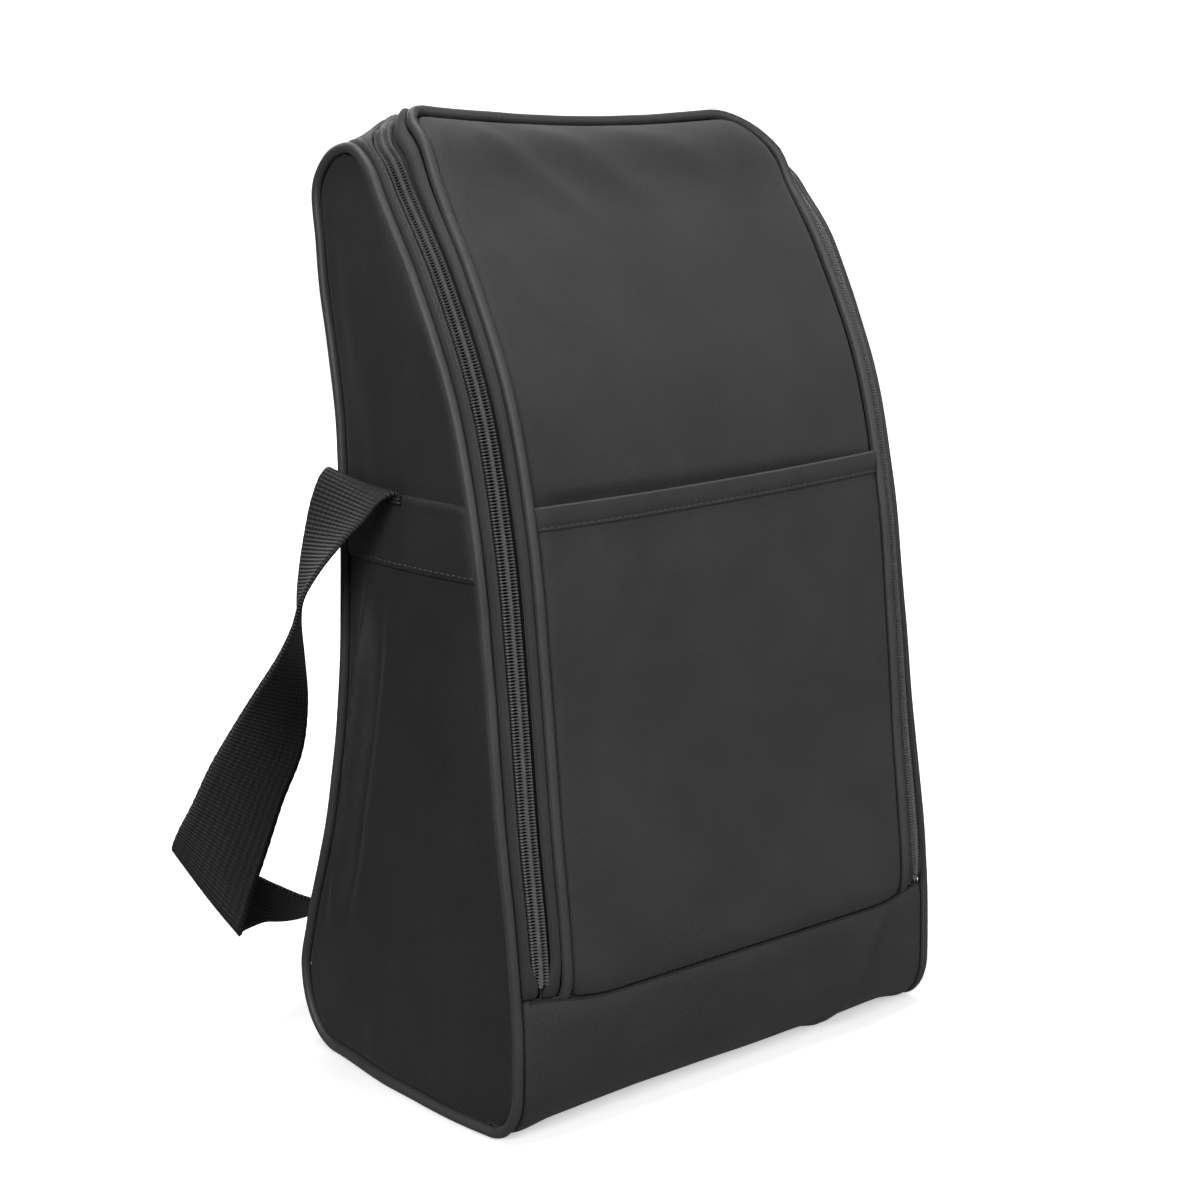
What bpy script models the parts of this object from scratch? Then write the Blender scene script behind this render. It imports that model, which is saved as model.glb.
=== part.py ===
"""Golf shoe bag: a tall, stiff bag that stands on its base.

The front is a door, sewn along its lower edge and closed by a zip that runs up one side, over the
top and down the other. The door carries a slip pocket. A webbing strap is sewn to both sides and
hangs behind the bag.

Frame: metres, +Z up, origin in the middle of the flat base, the door faces -Y.
All the cloth that wraps round the bag lies on one surface, the wrap. A point on it has two
coordinates: u, the distance across the bag along X, and v, the distance along the side's outline,
up the front from the lower front corner, over the top, down the back and under the base.
"""

import math

import bmesh
import bpy
import numpy as np
from mathutils import Matrix, Vector

COLLECTION = "golf_shoe_bag"

# ---------------------------------------------------------------- driving dimensions
HALF_WIDTH = 0.110           # middle of the bag to the outside of its side piping
GAP = 0.0003                 # clearance between pieces that touch
SEAM_GAP = 0.0007            # between two cloths that meet at a sewn edge
PIPING_RADIUS = 0.002

# The side's outline (y, z), up the front, over the top and down the back, and how far the cloth
# between the two sides stands outside it.
OUTLINE = [(-0.0665, 0.02, 0.0035), (-0.0635, 0.07, 0.0056), (-0.057, 0.116, 0.0068),
           (-0.052, 0.164, 0.0068), (-0.045, 0.216, 0.0070), (-0.032, 0.265, 0.0072),
           (-0.0115, 0.305, 0.0074), (0.007, 0.333, 0.0085), (0.016, 0.346, 0.0100),
           (0.026, 0.3525, 0.0092), (0.037, 0.3495, 0.0066), (0.045, 0.339, 0.0052),
           (0.0455, 0.314, 0.0050), (0.039, 0.254, 0.0040), (0.0372, 0.209, 0.0040),
           (0.0405, 0.149, 0.0040), (0.051, 0.092, 0.0034), (0.065, 0.048, 0.0030),
           (0.0695, 0.028, 0.0025)]
FRONT_CORNER = 0.0145        # how far the rounded lower front corner reaches along Y
REAR_CORNER = 0.0185         # the same at the back

SEAM_HEIGHT = 0.051          # the door's sewn lower edge above the floor
HINGE = Vector((0.0, -0.0722, SEAM_HEIGHT))
DOOR_TOP_Y = 0.0205          # how far back the door's top edge lies
BACK_SEAM_LENGTH = 0.0225    # from the door's top edge to the top of the back panel
DOOR_HALF = 0.0895           # middle of the bag to the door's piping
DOOR_CORNER = 0.009          # radius of the door's top corners
EDGE = HALF_WIDTH - 2 * PIPING_RADIUS - GAP   # where the wrapped cloth ends beside the piping
SLOPE_WIDTH = 0.018          # the cloth's stand grows over this width beside each side seam
# How far the top sags in its middle, against the distance along the outline from the door's top edge.
SAG = [(-0.050, 0.0), (-0.020, 0.0022), (0.0, 0.0040), (0.0093, 0.0070), (0.0225, 0.0062), (0.075, 0.0)]

# Strips beside the door's piping, each from and to a distance outside it.
INNER_BAND = (0.0023, 0.0052)
DOOR_TAPE = (0.0027, 0.0084)
DOOR_COIL = (0.0058, 0.0084)
BODY_COIL = (0.0102, 0.0128)
BODY_TAPE = (0.0102, 0.0152)
OUTER_BAND = 0.0136
ZIP_MIDDLE = 0.0093

CLOTH = 0.0012               # outer cloth with its backing
FOAM = 0.0024
LINING = 0.0006
TAPE = 0.0009
TAPE_SINK = 0.0023           # the zip tape's face below the bands that are sewn over it
COIL_GAP = 0.0009            # between the tape and the coil sewn on it
COIL_HEIGHT = 0.0026
LAYER_GAP = 0.0005           # clearance between the layers of a panel
FOAM_RIM = 0.0065            # from the outside of the piping to the foam and lining of a side
FOAM_SINK = CLOTH + LAYER_GAP
LINING_SINK = FOAM_SINK + FOAM + LAYER_GAP

POCKET_TOP = 0.230           # height of the slip pocket's mouth
POCKET_STAND = 0.0034        # the pocket's outer face outside the door's edge
POCKET_RECESS = 0.0066       # the door's face behind the pocket, inside its own edge
HEM_HEIGHT = 0.009

STRAP_WIDTH = 0.038
STRAP_THICKNESS = 0.0016
STRAP_PIVOT = Vector((0.0, 0.015, 0.233))
STRIP_BOTTOM = 0.202         # the cross strip that holds the strap's ends, on each side
STRIP_TOP = 0.2295
# The left half of the strap's route, from its root: the middle of the strap (x, y, z), and from
# there to its rear edge (x, y, z). It leaves the side seam, falls over and twists as it hangs, is
# folded slantwise near the bottom and turns behind the bag.
STRAP_ROUTE = [
    ((-0.1119, 0.0150, 0.2315), (0.0000, 0.0190, 0.0000)),
    ((-0.1124, 0.0152, 0.2352), (0.0000, 0.0190, 0.0000)),
    ((-0.1150, 0.0158, 0.2368), (0.0000, 0.0190, 0.0000)),
    ((-0.1195, 0.0172, 0.2325), (0.0010, 0.0190, -0.0003)),
    ((-0.1230, 0.0195, 0.2240), (0.0020, 0.0190, -0.0008)),
    ((-0.1257, 0.0235, 0.2130), (0.0040, 0.0184, -0.0020)),
    ((-0.1280, 0.0292, 0.2000), (0.0072, 0.0170, -0.0036)),
    ((-0.1282, 0.0355, 0.1875), (0.0096, 0.0157, -0.0042)),
    ((-0.1262, 0.0412, 0.1752), (0.0112, 0.0146, -0.0048)),
    ((-0.1247, 0.0470, 0.1630), (0.0134, 0.0123, -0.0052)),
    ((-0.1258, 0.0530, 0.1470), (0.0156, 0.0080, -0.0064)),
    ((-0.1299, 0.0590, 0.1295), (0.0162, 0.0030, -0.0085)),
    ((-0.1352, 0.0645, 0.1125), (0.0158, 0.0002, -0.0100)),
    ((-0.1406, 0.0695, 0.0945), (0.0152, -0.0018, -0.0115)),
    ((-0.1442, 0.0740, 0.0800), (0.0134, -0.0038, -0.0150)),
    ((-0.1456, 0.0785, 0.0680), (0.0095, -0.0062, -0.0185)),
    ((-0.1400, 0.0830, 0.0652), (0.0094, -0.0030, -0.0180)),
    ((-0.1300, 0.0870, 0.0610), (0.0098, 0.0030, -0.0172)),
    ((-0.1180, 0.0912, 0.0555), (0.0095, 0.0075, -0.0148)),
    ((-0.1040, 0.0950, 0.0480), (0.0085, 0.0115, -0.0122)),
    ((-0.0880, 0.0985, 0.0410), (0.0060, 0.0150, -0.0090)),
    ((-0.0600, 0.1015, 0.0370), (0.0020, 0.0178, -0.0062)),
    ((0.0000, 0.1030, 0.0355), (0.0000, 0.0182, -0.0055))]

SLIDER_LENGTH = 0.0125
SLIDER_HALF_WIDTH = 0.0044
POST_LENGTH, POST_HALF = 0.0030, 0.0003      # the post between the two tapes
FLOOR_CLEARANCE = 0.0012     # between the tapes and the slider's floor
SLIDER_CENTRE = 0.0085       # each slider's middle from the middle of the bag when the zip is shut
ROOF_CLEARANCE = 0.0007      # between the coils and the slider's roof
SLIDER_WALL = 0.0009
BAIL_HALF = 0.0036           # the arch on the slider's roof that holds the pull
BAIL_HEIGHT = 0.0026
BAIL_WALL = 0.0009
PULL_HALF = 0.0030
PULL_LENGTH = 0.024
PULL_THICKNESS = 0.0010

COLOURS = {
    "cloth": ((0.045, 0.046, 0.049, 1), 0.72, 0.0),
    "pocket": ((0.040, 0.041, 0.044, 1), 0.74, 0.0),
    "piping": ((0.060, 0.061, 0.064, 1), 0.55, 0.0),
    "lining": ((0.030, 0.031, 0.034, 1), 0.80, 0.0),
    "foam": ((0.55, 0.55, 0.55, 1), 0.90, 0.0),
    "board": ((0.20, 0.19, 0.18, 1), 0.85, 0.0),
    "zip": ((0.035, 0.035, 0.037, 1), 0.45, 0.0),
    "tape": ((0.030, 0.030, 0.032, 1), 0.85, 0.0),
    "metal": ((0.06, 0.06, 0.065, 1), 0.35, 0.9),
    "webbing": ((0.035, 0.036, 0.038, 1), 0.65, 0.0),
}


# ---------------------------------------------------------------- the wrap surface
def smooth_line(points, steps=24):
    """Points along a smooth curve through points, steps for each stretch, vertical at both ends."""
    first = np.array((points[1][0], 2 * points[0][1] - points[1][1]))
    last = np.array((points[-2][0], 2 * points[-1][1] - points[-2][1]))
    knots = [first, *points, last]
    lengths = [np.linalg.norm(b - a) for a, b in zip(knots, knots[1:])]
    slopes = [((knots[i] - knots[i - 1]) / lengths[i - 1] * lengths[i]
               + (knots[i + 1] - knots[i]) / lengths[i] * lengths[i - 1]) / (lengths[i - 1] + lengths[i])
              for i in range(1, len(knots) - 1)]
    line = []
    for i in range(1, len(knots) - 2):
        for t in np.linspace(0, 1, steps, endpoint=False):
            line.append((2 * t**3 - 3 * t**2 + 1) * knots[i]
                        + (t**3 - 2 * t**2 + t) * lengths[i] * slopes[i - 1]
                        + (3 * t**2 - 2 * t**3) * knots[i + 1] + (t**3 - t**2) * lengths[i] * slopes[i])
    return line


def quarter(centre, reach, height, start, steps=24):
    """A quarter of an ellipse, clockwise from the angle start, in degrees."""
    angles = np.radians(np.linspace(start, start - 90, steps, endpoint=False))
    return [np.array((centre[0] + reach * math.cos(a), centre[1] + height * math.sin(a))) for a in angles]


def closed_outline(share):
    """The outline at the sides (share 0) or in the middle of the bag (share 1), as close points."""
    points = np.array([p[:2] for p in OUTLINE])
    along = np.gradient(points, axis=0)
    along[0] = (0, 1)
    along[-1] = (0, -1)
    along /= np.linalg.norm(along, axis=1)[:, None]
    stands = share * np.array([p[2] for p in OUTLINE])[:, None]
    points = points + stands * np.stack([-along[:, 1], along[:, 0]], axis=1)
    rear = (OUTLINE[-1][0] - REAR_CORNER, OUTLINE[-1][1])
    front = (OUTLINE[0][0] + FRONT_CORNER, OUTLINE[0][1])
    line = smooth_line(points)
    line += quarter(rear, points[-1][0] - rear[0], rear[1], 0)
    line += [np.array((y, 0.0)) for y in np.linspace(rear[0], front[0], 60, endpoint=False)]
    line += quarter(front, front[0] - points[0][0], front[1], -90)
    return np.array(line + line[:1])


SIDE_LOOP, MIDDLE_LOOP = closed_outline(0), closed_outline(1)
RUN = np.concatenate([[0], np.cumsum(np.linalg.norm(np.diff(MIDDLE_LOOP, axis=0), axis=1))])
ROUND = RUN[-1]


def outwards(loop):
    """The outward direction at each of a loop's points."""
    along = np.roll(loop[:-1], -1, axis=0) - np.roll(loop[:-1], 1, axis=0)
    along = np.vstack([along, along[:1]])
    along /= np.linalg.norm(along, axis=1)[:, None]
    return np.stack([-along[:, 1], along[:, 0]], axis=1)


SECTION = np.hstack([SIDE_LOOP, MIDDLE_LOOP, outwards(SIDE_LOOP), outwards(MIDDLE_LOOP)])


def run_where(test):
    """The first v whose point (y, z) in the middle of the bag passes the test."""
    return next(RUN[i] for i, (y, z) in enumerate(MIDDLE_LOOP) if test(y, z))


V_SEAM = run_where(lambda y, z: z >= SEAM_HEIGHT)
V_POCKET = run_where(lambda y, z: z >= POCKET_TOP)
V_TOP = run_where(lambda y, z: y >= DOOR_TOP_Y)
V_BACK = V_TOP + BACK_SEAM_LENGTH
V_REAR = run_where(lambda y, z: y > 0.06 and z <= OUTLINE[-1][1])
V_FRONT = run_where(lambda y, z: y <= OUTLINE[0][0] + FRONT_CORNER + 0.004 and z < CLOTH / 10)


def facet_knots(longest=0.034, sharpest=math.radians(12)):
    """Places in RUN, close together where the outline bends. The wrap is flat between two of them."""
    places = [0]
    for i in range(1, len(RUN) - 1):
        turn = max(math.acos(min(1.0, float(SECTION[i, k:k + 2] @ SECTION[places[-1], k:k + 2])))
                   for k in (4, 6))
        if RUN[i] - RUN[places[-1]] >= longest or turn >= sharpest:
            places.append(i)
    return places + [len(RUN) - 1]


KNOTS = RUN[facet_knots()]
KNOT_SECTION = SECTION[facet_knots()]


def sag(u, v):
    """How far the top sags at (u, v): most in the middle, and not at all beyond the door's corners."""
    along, depth = zip(*SAG)
    return np.interp(v % ROUND - V_TOP, along, depth) * max(0.0, 1 - abs(u) / (DOOR_HALF - DOOR_CORNER))


def wrap(u, v, out=0.0):
    """The point at (u, v), moved out from the wrap surface."""
    values = [np.interp(v % ROUND, KNOTS, KNOT_SECTION[:, k]) for k in range(8)]
    share = min(1.0, max(0.0, (EDGE - abs(u)) / SLOPE_WIDTH))
    y, z, ny, nz = ((1 - share) * values[k] + share * values[k + 2] for k in (0, 1, 4, 5))
    return Vector((u, y + out * ny, z + out * nz - sag(u, v)))


def side_point(v, depth):
    """A point (y, z) of the side's outline, moved inwards by depth."""
    y, z, ny, nz = (np.interp(v % ROUND, KNOTS, KNOT_SECTION[:, k]) for k in (0, 1, 4, 5))
    return y - depth * ny, z - depth * nz


def stations(start, end):
    """start, the knots between them, and end. A v beyond the whole round counts on from the seam."""
    knots = np.concatenate([KNOTS[:-1], KNOTS + ROUND])
    return [start] + [float(v) for v in knots if start + 0.001 < v < end - 0.001] + [end]


# ---------------------------------------------------------------- making objects
def clear_scene():
    for old in list(bpy.data.objects):
        bpy.data.objects.remove(old)


def make_material(name, kind):
    colour, roughness, metallic = COLOURS[kind]
    material = bpy.data.materials.new(name)
    material.use_nodes = True
    shader = material.node_tree.nodes["Principled BSDF"]
    shader.inputs["Base Color"].default_value = colour
    shader.inputs["Roughness"].default_value = roughness
    shader.inputs["Metallic"].default_value = metallic
    return material


def add_object(name, data, kind):
    thing = bpy.data.objects.new(name, data)
    bpy.data.collections[COLLECTION].objects.link(thing)
    data.materials.append(make_material(name, kind))
    return thing


def add_pivot(name, place):
    pivot = bpy.data.objects.new(name, None)
    pivot.location = place
    bpy.data.collections[COLLECTION].objects.link(pivot)
    return pivot


def hang_on(thing, pivot):
    """Parents thing to a pivot without moving it."""
    thing.parent = pivot
    thing.matrix_parent_inverse = Matrix.Translation(pivot.location).inverted()


def sheet(name, kind, rows, columns, place, thickness):
    """A grid of rows by columns points, put in place by place(row, column), and thickened inwards."""
    mesh = bpy.data.meshes.new(name)
    form = bmesh.new()
    bmesh.ops.create_grid(form, x_segments=columns - 1, y_segments=rows - 1, size=1)
    for vertex in form.verts:
        column = round((vertex.co.x + 1) / 2 * (columns - 1))
        row = round((vertex.co.y + 1) / 2 * (rows - 1))
        vertex.co = place(row, column)
    form.to_mesh(mesh)
    form.free()
    thing = add_object(name, mesh, kind)
    solidify = thing.modifiers.new("thickness", "SOLIDIFY")
    solidify.thickness = thickness
    solidify.offset = -1
    mesh.shade_smooth()
    mesh.set_sharp_from_angle(angle=math.radians(40))
    return thing


def tube(name, kind, points, radius, closed=False):
    curve = bpy.data.curves.new(name, "CURVE")
    curve.dimensions = "3D"
    curve.bevel_depth = radius
    curve.bevel_resolution = 2
    curve.use_fill_caps = not closed
    spline = curve.splines.new("POLY")
    spline.points.add(len(points) - 1)
    for knot, point in zip(spline.points, points):
        knot.co = (*point, 1)
    spline.use_cyclic_u = closed
    return add_object(name, curve, kind)


def plate(name, kind, outline, x, thickness):
    """A flat plate across X: its outline is (y, z) points and its middle is at x."""
    curve = bpy.data.curves.new(name, "CURVE")
    curve.dimensions = "2D"
    curve.fill_mode = "BOTH"
    curve.extrude = thickness / 2
    spline = curve.splines.new("POLY")
    spline.points.add(len(outline) - 1)
    for knot, (y, z) in zip(spline.points, outline):
        knot.co = (y, z, 0, 1)
    spline.use_cyclic_u = True
    thing = add_object(name, curve, kind)
    thing.matrix_world = Matrix(((0, 0, 1, x), (1, 0, 0, 0), (0, 1, 0, 0), (0, 0, 0, 1)))
    return thing


def block(name, kind, low, high, bevel=0.0):
    mesh = bpy.data.meshes.new(name)
    form = bmesh.new()
    bmesh.ops.create_cube(form, size=1)
    size = Vector(high) - Vector(low)
    bmesh.ops.scale(form, vec=size, verts=form.verts)
    form.to_mesh(mesh)
    form.free()
    thing = add_object(name, mesh, kind)
    thing.location = (Vector(high) + Vector(low)) / 2
    if bevel:
        edge = thing.modifiers.new("edge", "BEVEL")
        edge.width = bevel
        edge.segments = 1
    return thing


# ---------------------------------------------------------------- sides
def inset_outline(depth):
    """The side's outline moved inwards by depth."""
    return [side_point(v, depth) for v in KNOTS[:-1]]


def strip_outline(bottom, top, depth):
    """The part of the inset side outline between two heights."""
    front, back = [], []
    for z in np.linspace(bottom, top, 4):
        front.append((side_point(run_where(lambda y, height: height >= z), depth)[0], z))
        back.append((side_point(run_where(lambda y, height: y > 0.03 and height <= z), depth)[0], z))
    return front + back[::-1]


def make_sides():
    rim = 2 * PIPING_RADIUS + GAP
    for side, sign in (("left", -1), ("right", 1)):
        face = HALF_WIDTH - 0.0016
        plate(f"side_panel_{side}", "cloth", inset_outline(rim), sign * (face - CLOTH / 2), CLOTH)
        plate(f"side_foam_{side}", "foam", inset_outline(FOAM_RIM), sign * (face - FOAM_SINK - FOAM / 2), FOAM)
        plate(f"side_lining_{side}", "lining", inset_outline(FOAM_RIM),
              sign * (face - LINING_SINK - LINING / 2), LINING)
        plate(f"cross_strip_{side}", "cloth", strip_outline(STRIP_BOTTOM, STRIP_TOP, rim + GAP),
              sign * (face + GAP + CLOTH / 2), CLOTH)
        ring = [(sign * (HALF_WIDTH - PIPING_RADIUS), y, z) for y, z in inset_outline(PIPING_RADIUS)]
        tube(f"side_piping_{side}", "piping", ring, PIPING_RADIUS, closed=True)


# ---------------------------------------------------------------- the zip and its bands
def arch(offset):
    """The U that runs up one side of the door, over it and down the other, offset outside the piping."""
    centre_u, centre_v = DOOR_HALF - DOOR_CORNER, V_TOP - DOOR_CORNER
    radius = DOOR_CORNER + offset
    left = [(-centre_u - radius, v) for v in stations(V_SEAM + 0.0008, centre_v)]
    for angle in (22.5, 45, 67.5):
        a = math.radians(angle)
        left.append((-centre_u - radius * math.cos(a), centre_v + radius * math.sin(a)))
    left.append((-centre_u, centre_v + radius))
    return left + [(0.0, centre_v + radius)] + [(-u, v) for u, v in reversed(left)]


def square_arch():
    """The outer edge of the outer band: straight to the back panel's seam with square corners."""
    centre_u, centre_v = DOOR_HALF - DOOR_CORNER, V_TOP - DOOR_CORNER
    top = V_BACK - SEAM_GAP
    slant = math.tan(math.radians(22.5))
    left = [(-EDGE, v) for v in stations(V_SEAM + 0.0008, centre_v)]
    left += [(-EDGE, centre_v + slant * (top - centre_v)), (-EDGE, top)]
    left += [(-centre_u - slant * (EDGE - centre_u), top), (-centre_u, top)]
    return left + [(0.0, top)] + [(-u, v) for u, v in reversed(left)]


def strip(name, kind, inner, outer, out, thickness, across=2):
    """A band between two arches, across points wide, its outer face at out."""
    def place(row, column):
        share = column / (across - 1)
        u, v = (1 - share) * np.array(outer[row]) + share * np.array(inner[row])
        return wrap(u, v, out)
    return sheet(name, kind, len(inner), across, place, thickness)


def make_zip():
    """Both halves of the zip, between the two bands. Returns the pieces that move with the door."""
    strip("outer_band", "cloth", arch(OUTER_BAND), square_arch(), 0.0, CLOTH, across=4)
    inner_band = strip("inner_band", "cloth", arch(INNER_BAND[0]), arch(INNER_BAND[1]), 0.0, CLOTH)
    tape_out = -TAPE_SINK
    coil_out = COIL_HEIGHT + COIL_GAP - TAPE_SINK
    halves = []
    for half, tape, coil in (("body", BODY_TAPE, BODY_COIL), ("door", DOOR_TAPE, DOOR_COIL)):
        halves.append(strip(f"zip_tape_{half}", "tape", arch(tape[0]), arch(tape[1]), tape_out, TAPE, 3))
        halves.append(strip(f"zip_coil_{half}", "zip", arch(coil[0]), arch(coil[1]), coil_out, COIL_HEIGHT))
    return [inner_band] + halves[2:]


# ---------------------------------------------------------------- the door
def door_rows(bottom, margin):
    """Rows (v, half width) of a panel that stops margin short of the door's piping."""
    radius = DOOR_CORNER - margin
    centre_v = V_TOP - DOOR_CORNER
    rows = [(v, DOOR_HALF - margin) for v in stations(bottom, centre_v)]
    for angle in (30, 60, 90):
        a = math.radians(angle)
        half = DOOR_HALF - DOOR_CORNER + max(0.0, radius) * math.cos(a)
        rows.append((centre_v + max(radius, 0.001) * math.sin(a), half))
    return rows


def door_sink(v):
    """How far the door's face lies inside its edge: deeper behind the pocket."""
    return np.interp(v, (V_POCKET + 0.008, V_POCKET + 0.045), (POCKET_RECESS, 0.0008))


def door_sheet(name, kind, sink, margin, thickness):
    rows = door_rows(V_SEAM + 0.0008, margin)
    shares = (-1, -0.92, -0.45, 0, 0.45, 0.92, 1)

    def place(row, column):
        v, half = rows[row]
        return wrap(shares[column] * half, v, -door_sink(v) - sink)
    return sheet(name, kind, len(rows), len(shares), place, thickness)


def make_pocket():
    """The slip pocket: its cloth stands clear of the door and turns in to it along three edges."""
    half = DOOR_HALF - PIPING_RADIUS - GAP
    columns = [-half, -half + 0.005, -0.05, 0, 0.05, half - 0.005, half]
    bottom, top = V_SEAM + 0.0012, V_POCKET - HEM_HEIGHT - GAP
    rows = [bottom, bottom + 0.006, bottom + 0.016] + stations(bottom + 0.04, top)
    low = -POCKET_RECESS + 2 * GAP + CLOTH

    def out(u, v):
        side = np.interp(half - abs(u), (0, 0.005, 0.02), (low, 0.0012, POCKET_STAND))
        foot = np.interp(v - bottom, (0, 0.006, 0.016), (low, 0.0012, POCKET_STAND))
        return min(side, foot)

    def place(row, column):
        return wrap(columns[column], rows[row], out(columns[column], rows[row]))
    panel = sheet("pocket_panel", "pocket", len(rows), len(columns), place, CLOTH)
    hem_rows = (top + GAP, V_POCKET)

    def place_hem(row, column):
        return wrap(columns[column], hem_rows[row], out(columns[column], hem_rows[row]) + GAP)
    hem = sheet("pocket_hem", "pocket", 2, len(columns), place_hem, 1.6 * CLOTH)
    return [panel, hem]


def make_door():
    """Everything that opens with the door, hung on its sewn lower edge."""
    margin = PIPING_RADIUS + GAP
    pieces = [
        door_sheet("door_panel", "cloth", 0.0, margin, CLOTH),
        door_sheet("door_foam", "foam", FOAM_SINK, margin + 0.004, FOAM),
        door_sheet("door_lining", "lining", LINING_SINK, margin, LINING),
        tube("door_piping", "piping", [wrap(u, v, -0.0004) for u, v in arch(0.0)], PIPING_RADIUS),
    ]
    return pieces + make_pocket()


# ---------------------------------------------------------------- back, base and front band
def wrapped(name, kind, start, end, half, out, thickness):
    """A panel right across the bag, from start to end along the outline."""
    rows = stations(start, end)
    columns = [-half, SLOPE_WIDTH - EDGE, 0.0, EDGE - SLOPE_WIDTH, half]

    def place(row, column):
        return wrap(columns[column], rows[row], out)
    return sheet(name, kind, len(rows), len(columns), place, thickness)


def make_back_and_base():
    inner_half = HALF_WIDTH - 0.0016 - LINING_SINK - LINING - 2 * GAP
    wrapped("back_panel", "cloth", V_BACK, V_REAR, EDGE, 0.0, CLOTH)
    wrapped("back_foam", "foam", V_BACK + 0.004, V_REAR - 0.004, inner_half, -FOAM_SINK, FOAM)
    wrapped("back_lining", "lining", V_BACK + 0.004, V_REAR - 0.004, inner_half, -LINING_SINK, LINING)
    wrapped("base_panel", "cloth", V_REAR + SEAM_GAP, V_FRONT - SEAM_GAP, EDGE, 0.0, CLOTH)
    wrapped("front_band", "cloth", V_FRONT, ROUND + V_SEAM - SEAM_GAP, EDGE, 0.0, CLOTH)
    wrapped("seam_tape", "tape", ROUND + V_SEAM - 0.012, ROUND + V_SEAM - GAP, inner_half,
            -FOAM_SINK, LINING)
    rear, front = OUTLINE[-1][0] - REAR_CORNER, OUTLINE[0][0] + FRONT_CORNER
    board_top = CLOTH + GAP + 0.0025
    block("base_board", "board", (-inner_half, front, CLOTH + GAP), (inner_half, rear, board_top))
    block("base_lining", "lining", (-inner_half, front, board_top + GAP),
          (inner_half, rear, board_top + GAP + LINING))


# ---------------------------------------------------------------- strap
def make_strap():
    """The webbing strap, one ribbon along its route and the mirror of it."""
    half = [(Vector(middle), Vector(reach)) for middle, reach in STRAP_ROUTE]
    mirror = Matrix.Scale(-1, 3, (1, 0, 0))
    route = half + [(mirror @ middle, mirror @ reach) for middle, reach in reversed(half[:-1])]

    def place(row, column):
        middle, reach = route[row]
        return middle + (2 * column - 1) * reach
    strap = sheet("carry_strap", "webbing", len(route), 2, place, STRAP_THICKNESS)
    strap.modifiers["thickness"].offset = 0
    for side, sign in (("left", -1), ("right", 1)):
        x = sorted((sign * (HALF_WIDTH - 0.0001), sign * (HALF_WIDTH + 0.0007)))
        block(f"strap_end_{side}", "webbing", (x[0], STRAP_PIVOT.y - STRAP_WIDTH / 2, STRIP_TOP - 0.012),
              (x[1], STRAP_PIVOT.y + STRAP_WIDTH / 2, STRIP_TOP))
    return strap


# ---------------------------------------------------------------- zip sliders and pulls
def slider_boxes(roof, floor):
    """A slider's roof, floor, post, closed flank and bail, in the frame of the slider."""
    half, side = SLIDER_LENGTH / 2, SLIDER_HALF_WIDTH
    bail_foot = roof + SLIDER_WALL / 2
    bail_top = roof + SLIDER_WALL + BAIL_HEIGHT
    boxes = [((-half, -side, roof), (half, side, roof + SLIDER_WALL)),
             ((-half, 0.0004 - side, floor - 0.0010), (half, side - 0.0004, floor)),
             ((-half, -POST_HALF, floor - 0.0005), (POST_LENGTH - half, POST_HALF, roof + 0.0005)),
             ((-half, side - 0.0007, 0.0005), (half, side, roof + 0.0005)),
             ((-BAIL_HALF, -0.0008, bail_top - BAIL_WALL), (BAIL_HALF, 0.0008, bail_top))]
    for start in (-BAIL_HALF, BAIL_HALF - BAIL_WALL):
        boxes.append(((start, -0.0008, bail_foot), (start + BAIL_WALL, 0.0008, bail_top - BAIL_WALL / 2)))
    return boxes


def pull_boxes():
    """A pull: a bar that lies under the bail, two arms beside it and a flat tab."""
    thick = PULL_THICKNESS / 2
    tab_start = BAIL_HALF + 0.0010
    boxes = [((-thick, -PULL_HALF, -thick), (thick, PULL_HALF, thick)),
             ((tab_start, -PULL_HALF, -thick), (PULL_LENGTH, PULL_HALF, thick))]
    for low, high in ((-PULL_HALF, -0.0014), (0.0014, PULL_HALF)):
        boxes.append(((0, low, -thick), (tab_start + 0.0005, high, thick)))
    return boxes


def make_sliders():
    """Two sliders that meet at the middle of the top, and their pulls, lying outwards."""
    v_middle = V_TOP + ZIP_MIDDLE
    middle, corner = wrap(0, v_middle), wrap(DOOR_HALF - DOOR_CORNER, v_middle)
    towards_back = wrap(0, v_middle + 0.004) - wrap(0, v_middle - 0.004)
    roof = COIL_HEIGHT + COIL_GAP - TAPE_SINK + ROOF_CLEARANCE
    floor = -TAPE_SINK - TAPE - FLOOR_CLEARANCE
    for side, sign in (("left", -1), ("right", 1)):
        along = Vector((sign * corner.x, corner.y - middle.y, corner.z - middle.z)).normalized()
        across = (towards_back - towards_back.dot(along) * along).normalized()
        up = sign * along.cross(across)
        axes = Matrix((along, across, up)).transposed().to_4x4()
        frame = Matrix.Translation(middle + SLIDER_CENTRE * along) @ axes
        slider_pivot = add_pivot(f"slider_slide_{side}", frame.translation)
        hang_on(joined_boxes(f"zip_slider_{side}", "metal", slider_boxes(roof, floor), frame), slider_pivot)
        bar = frame @ Vector((0, 0, roof + SLIDER_WALL + (BAIL_HEIGHT - BAIL_WALL) / 2))
        pull_pivot = add_pivot(f"pull_hinge_{side}", bar)
        pull_frame = Matrix.Translation(bar) @ axes
        hang_on(joined_boxes(f"pull_tab_{side}", "metal", pull_boxes(), pull_frame), pull_pivot)


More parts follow.
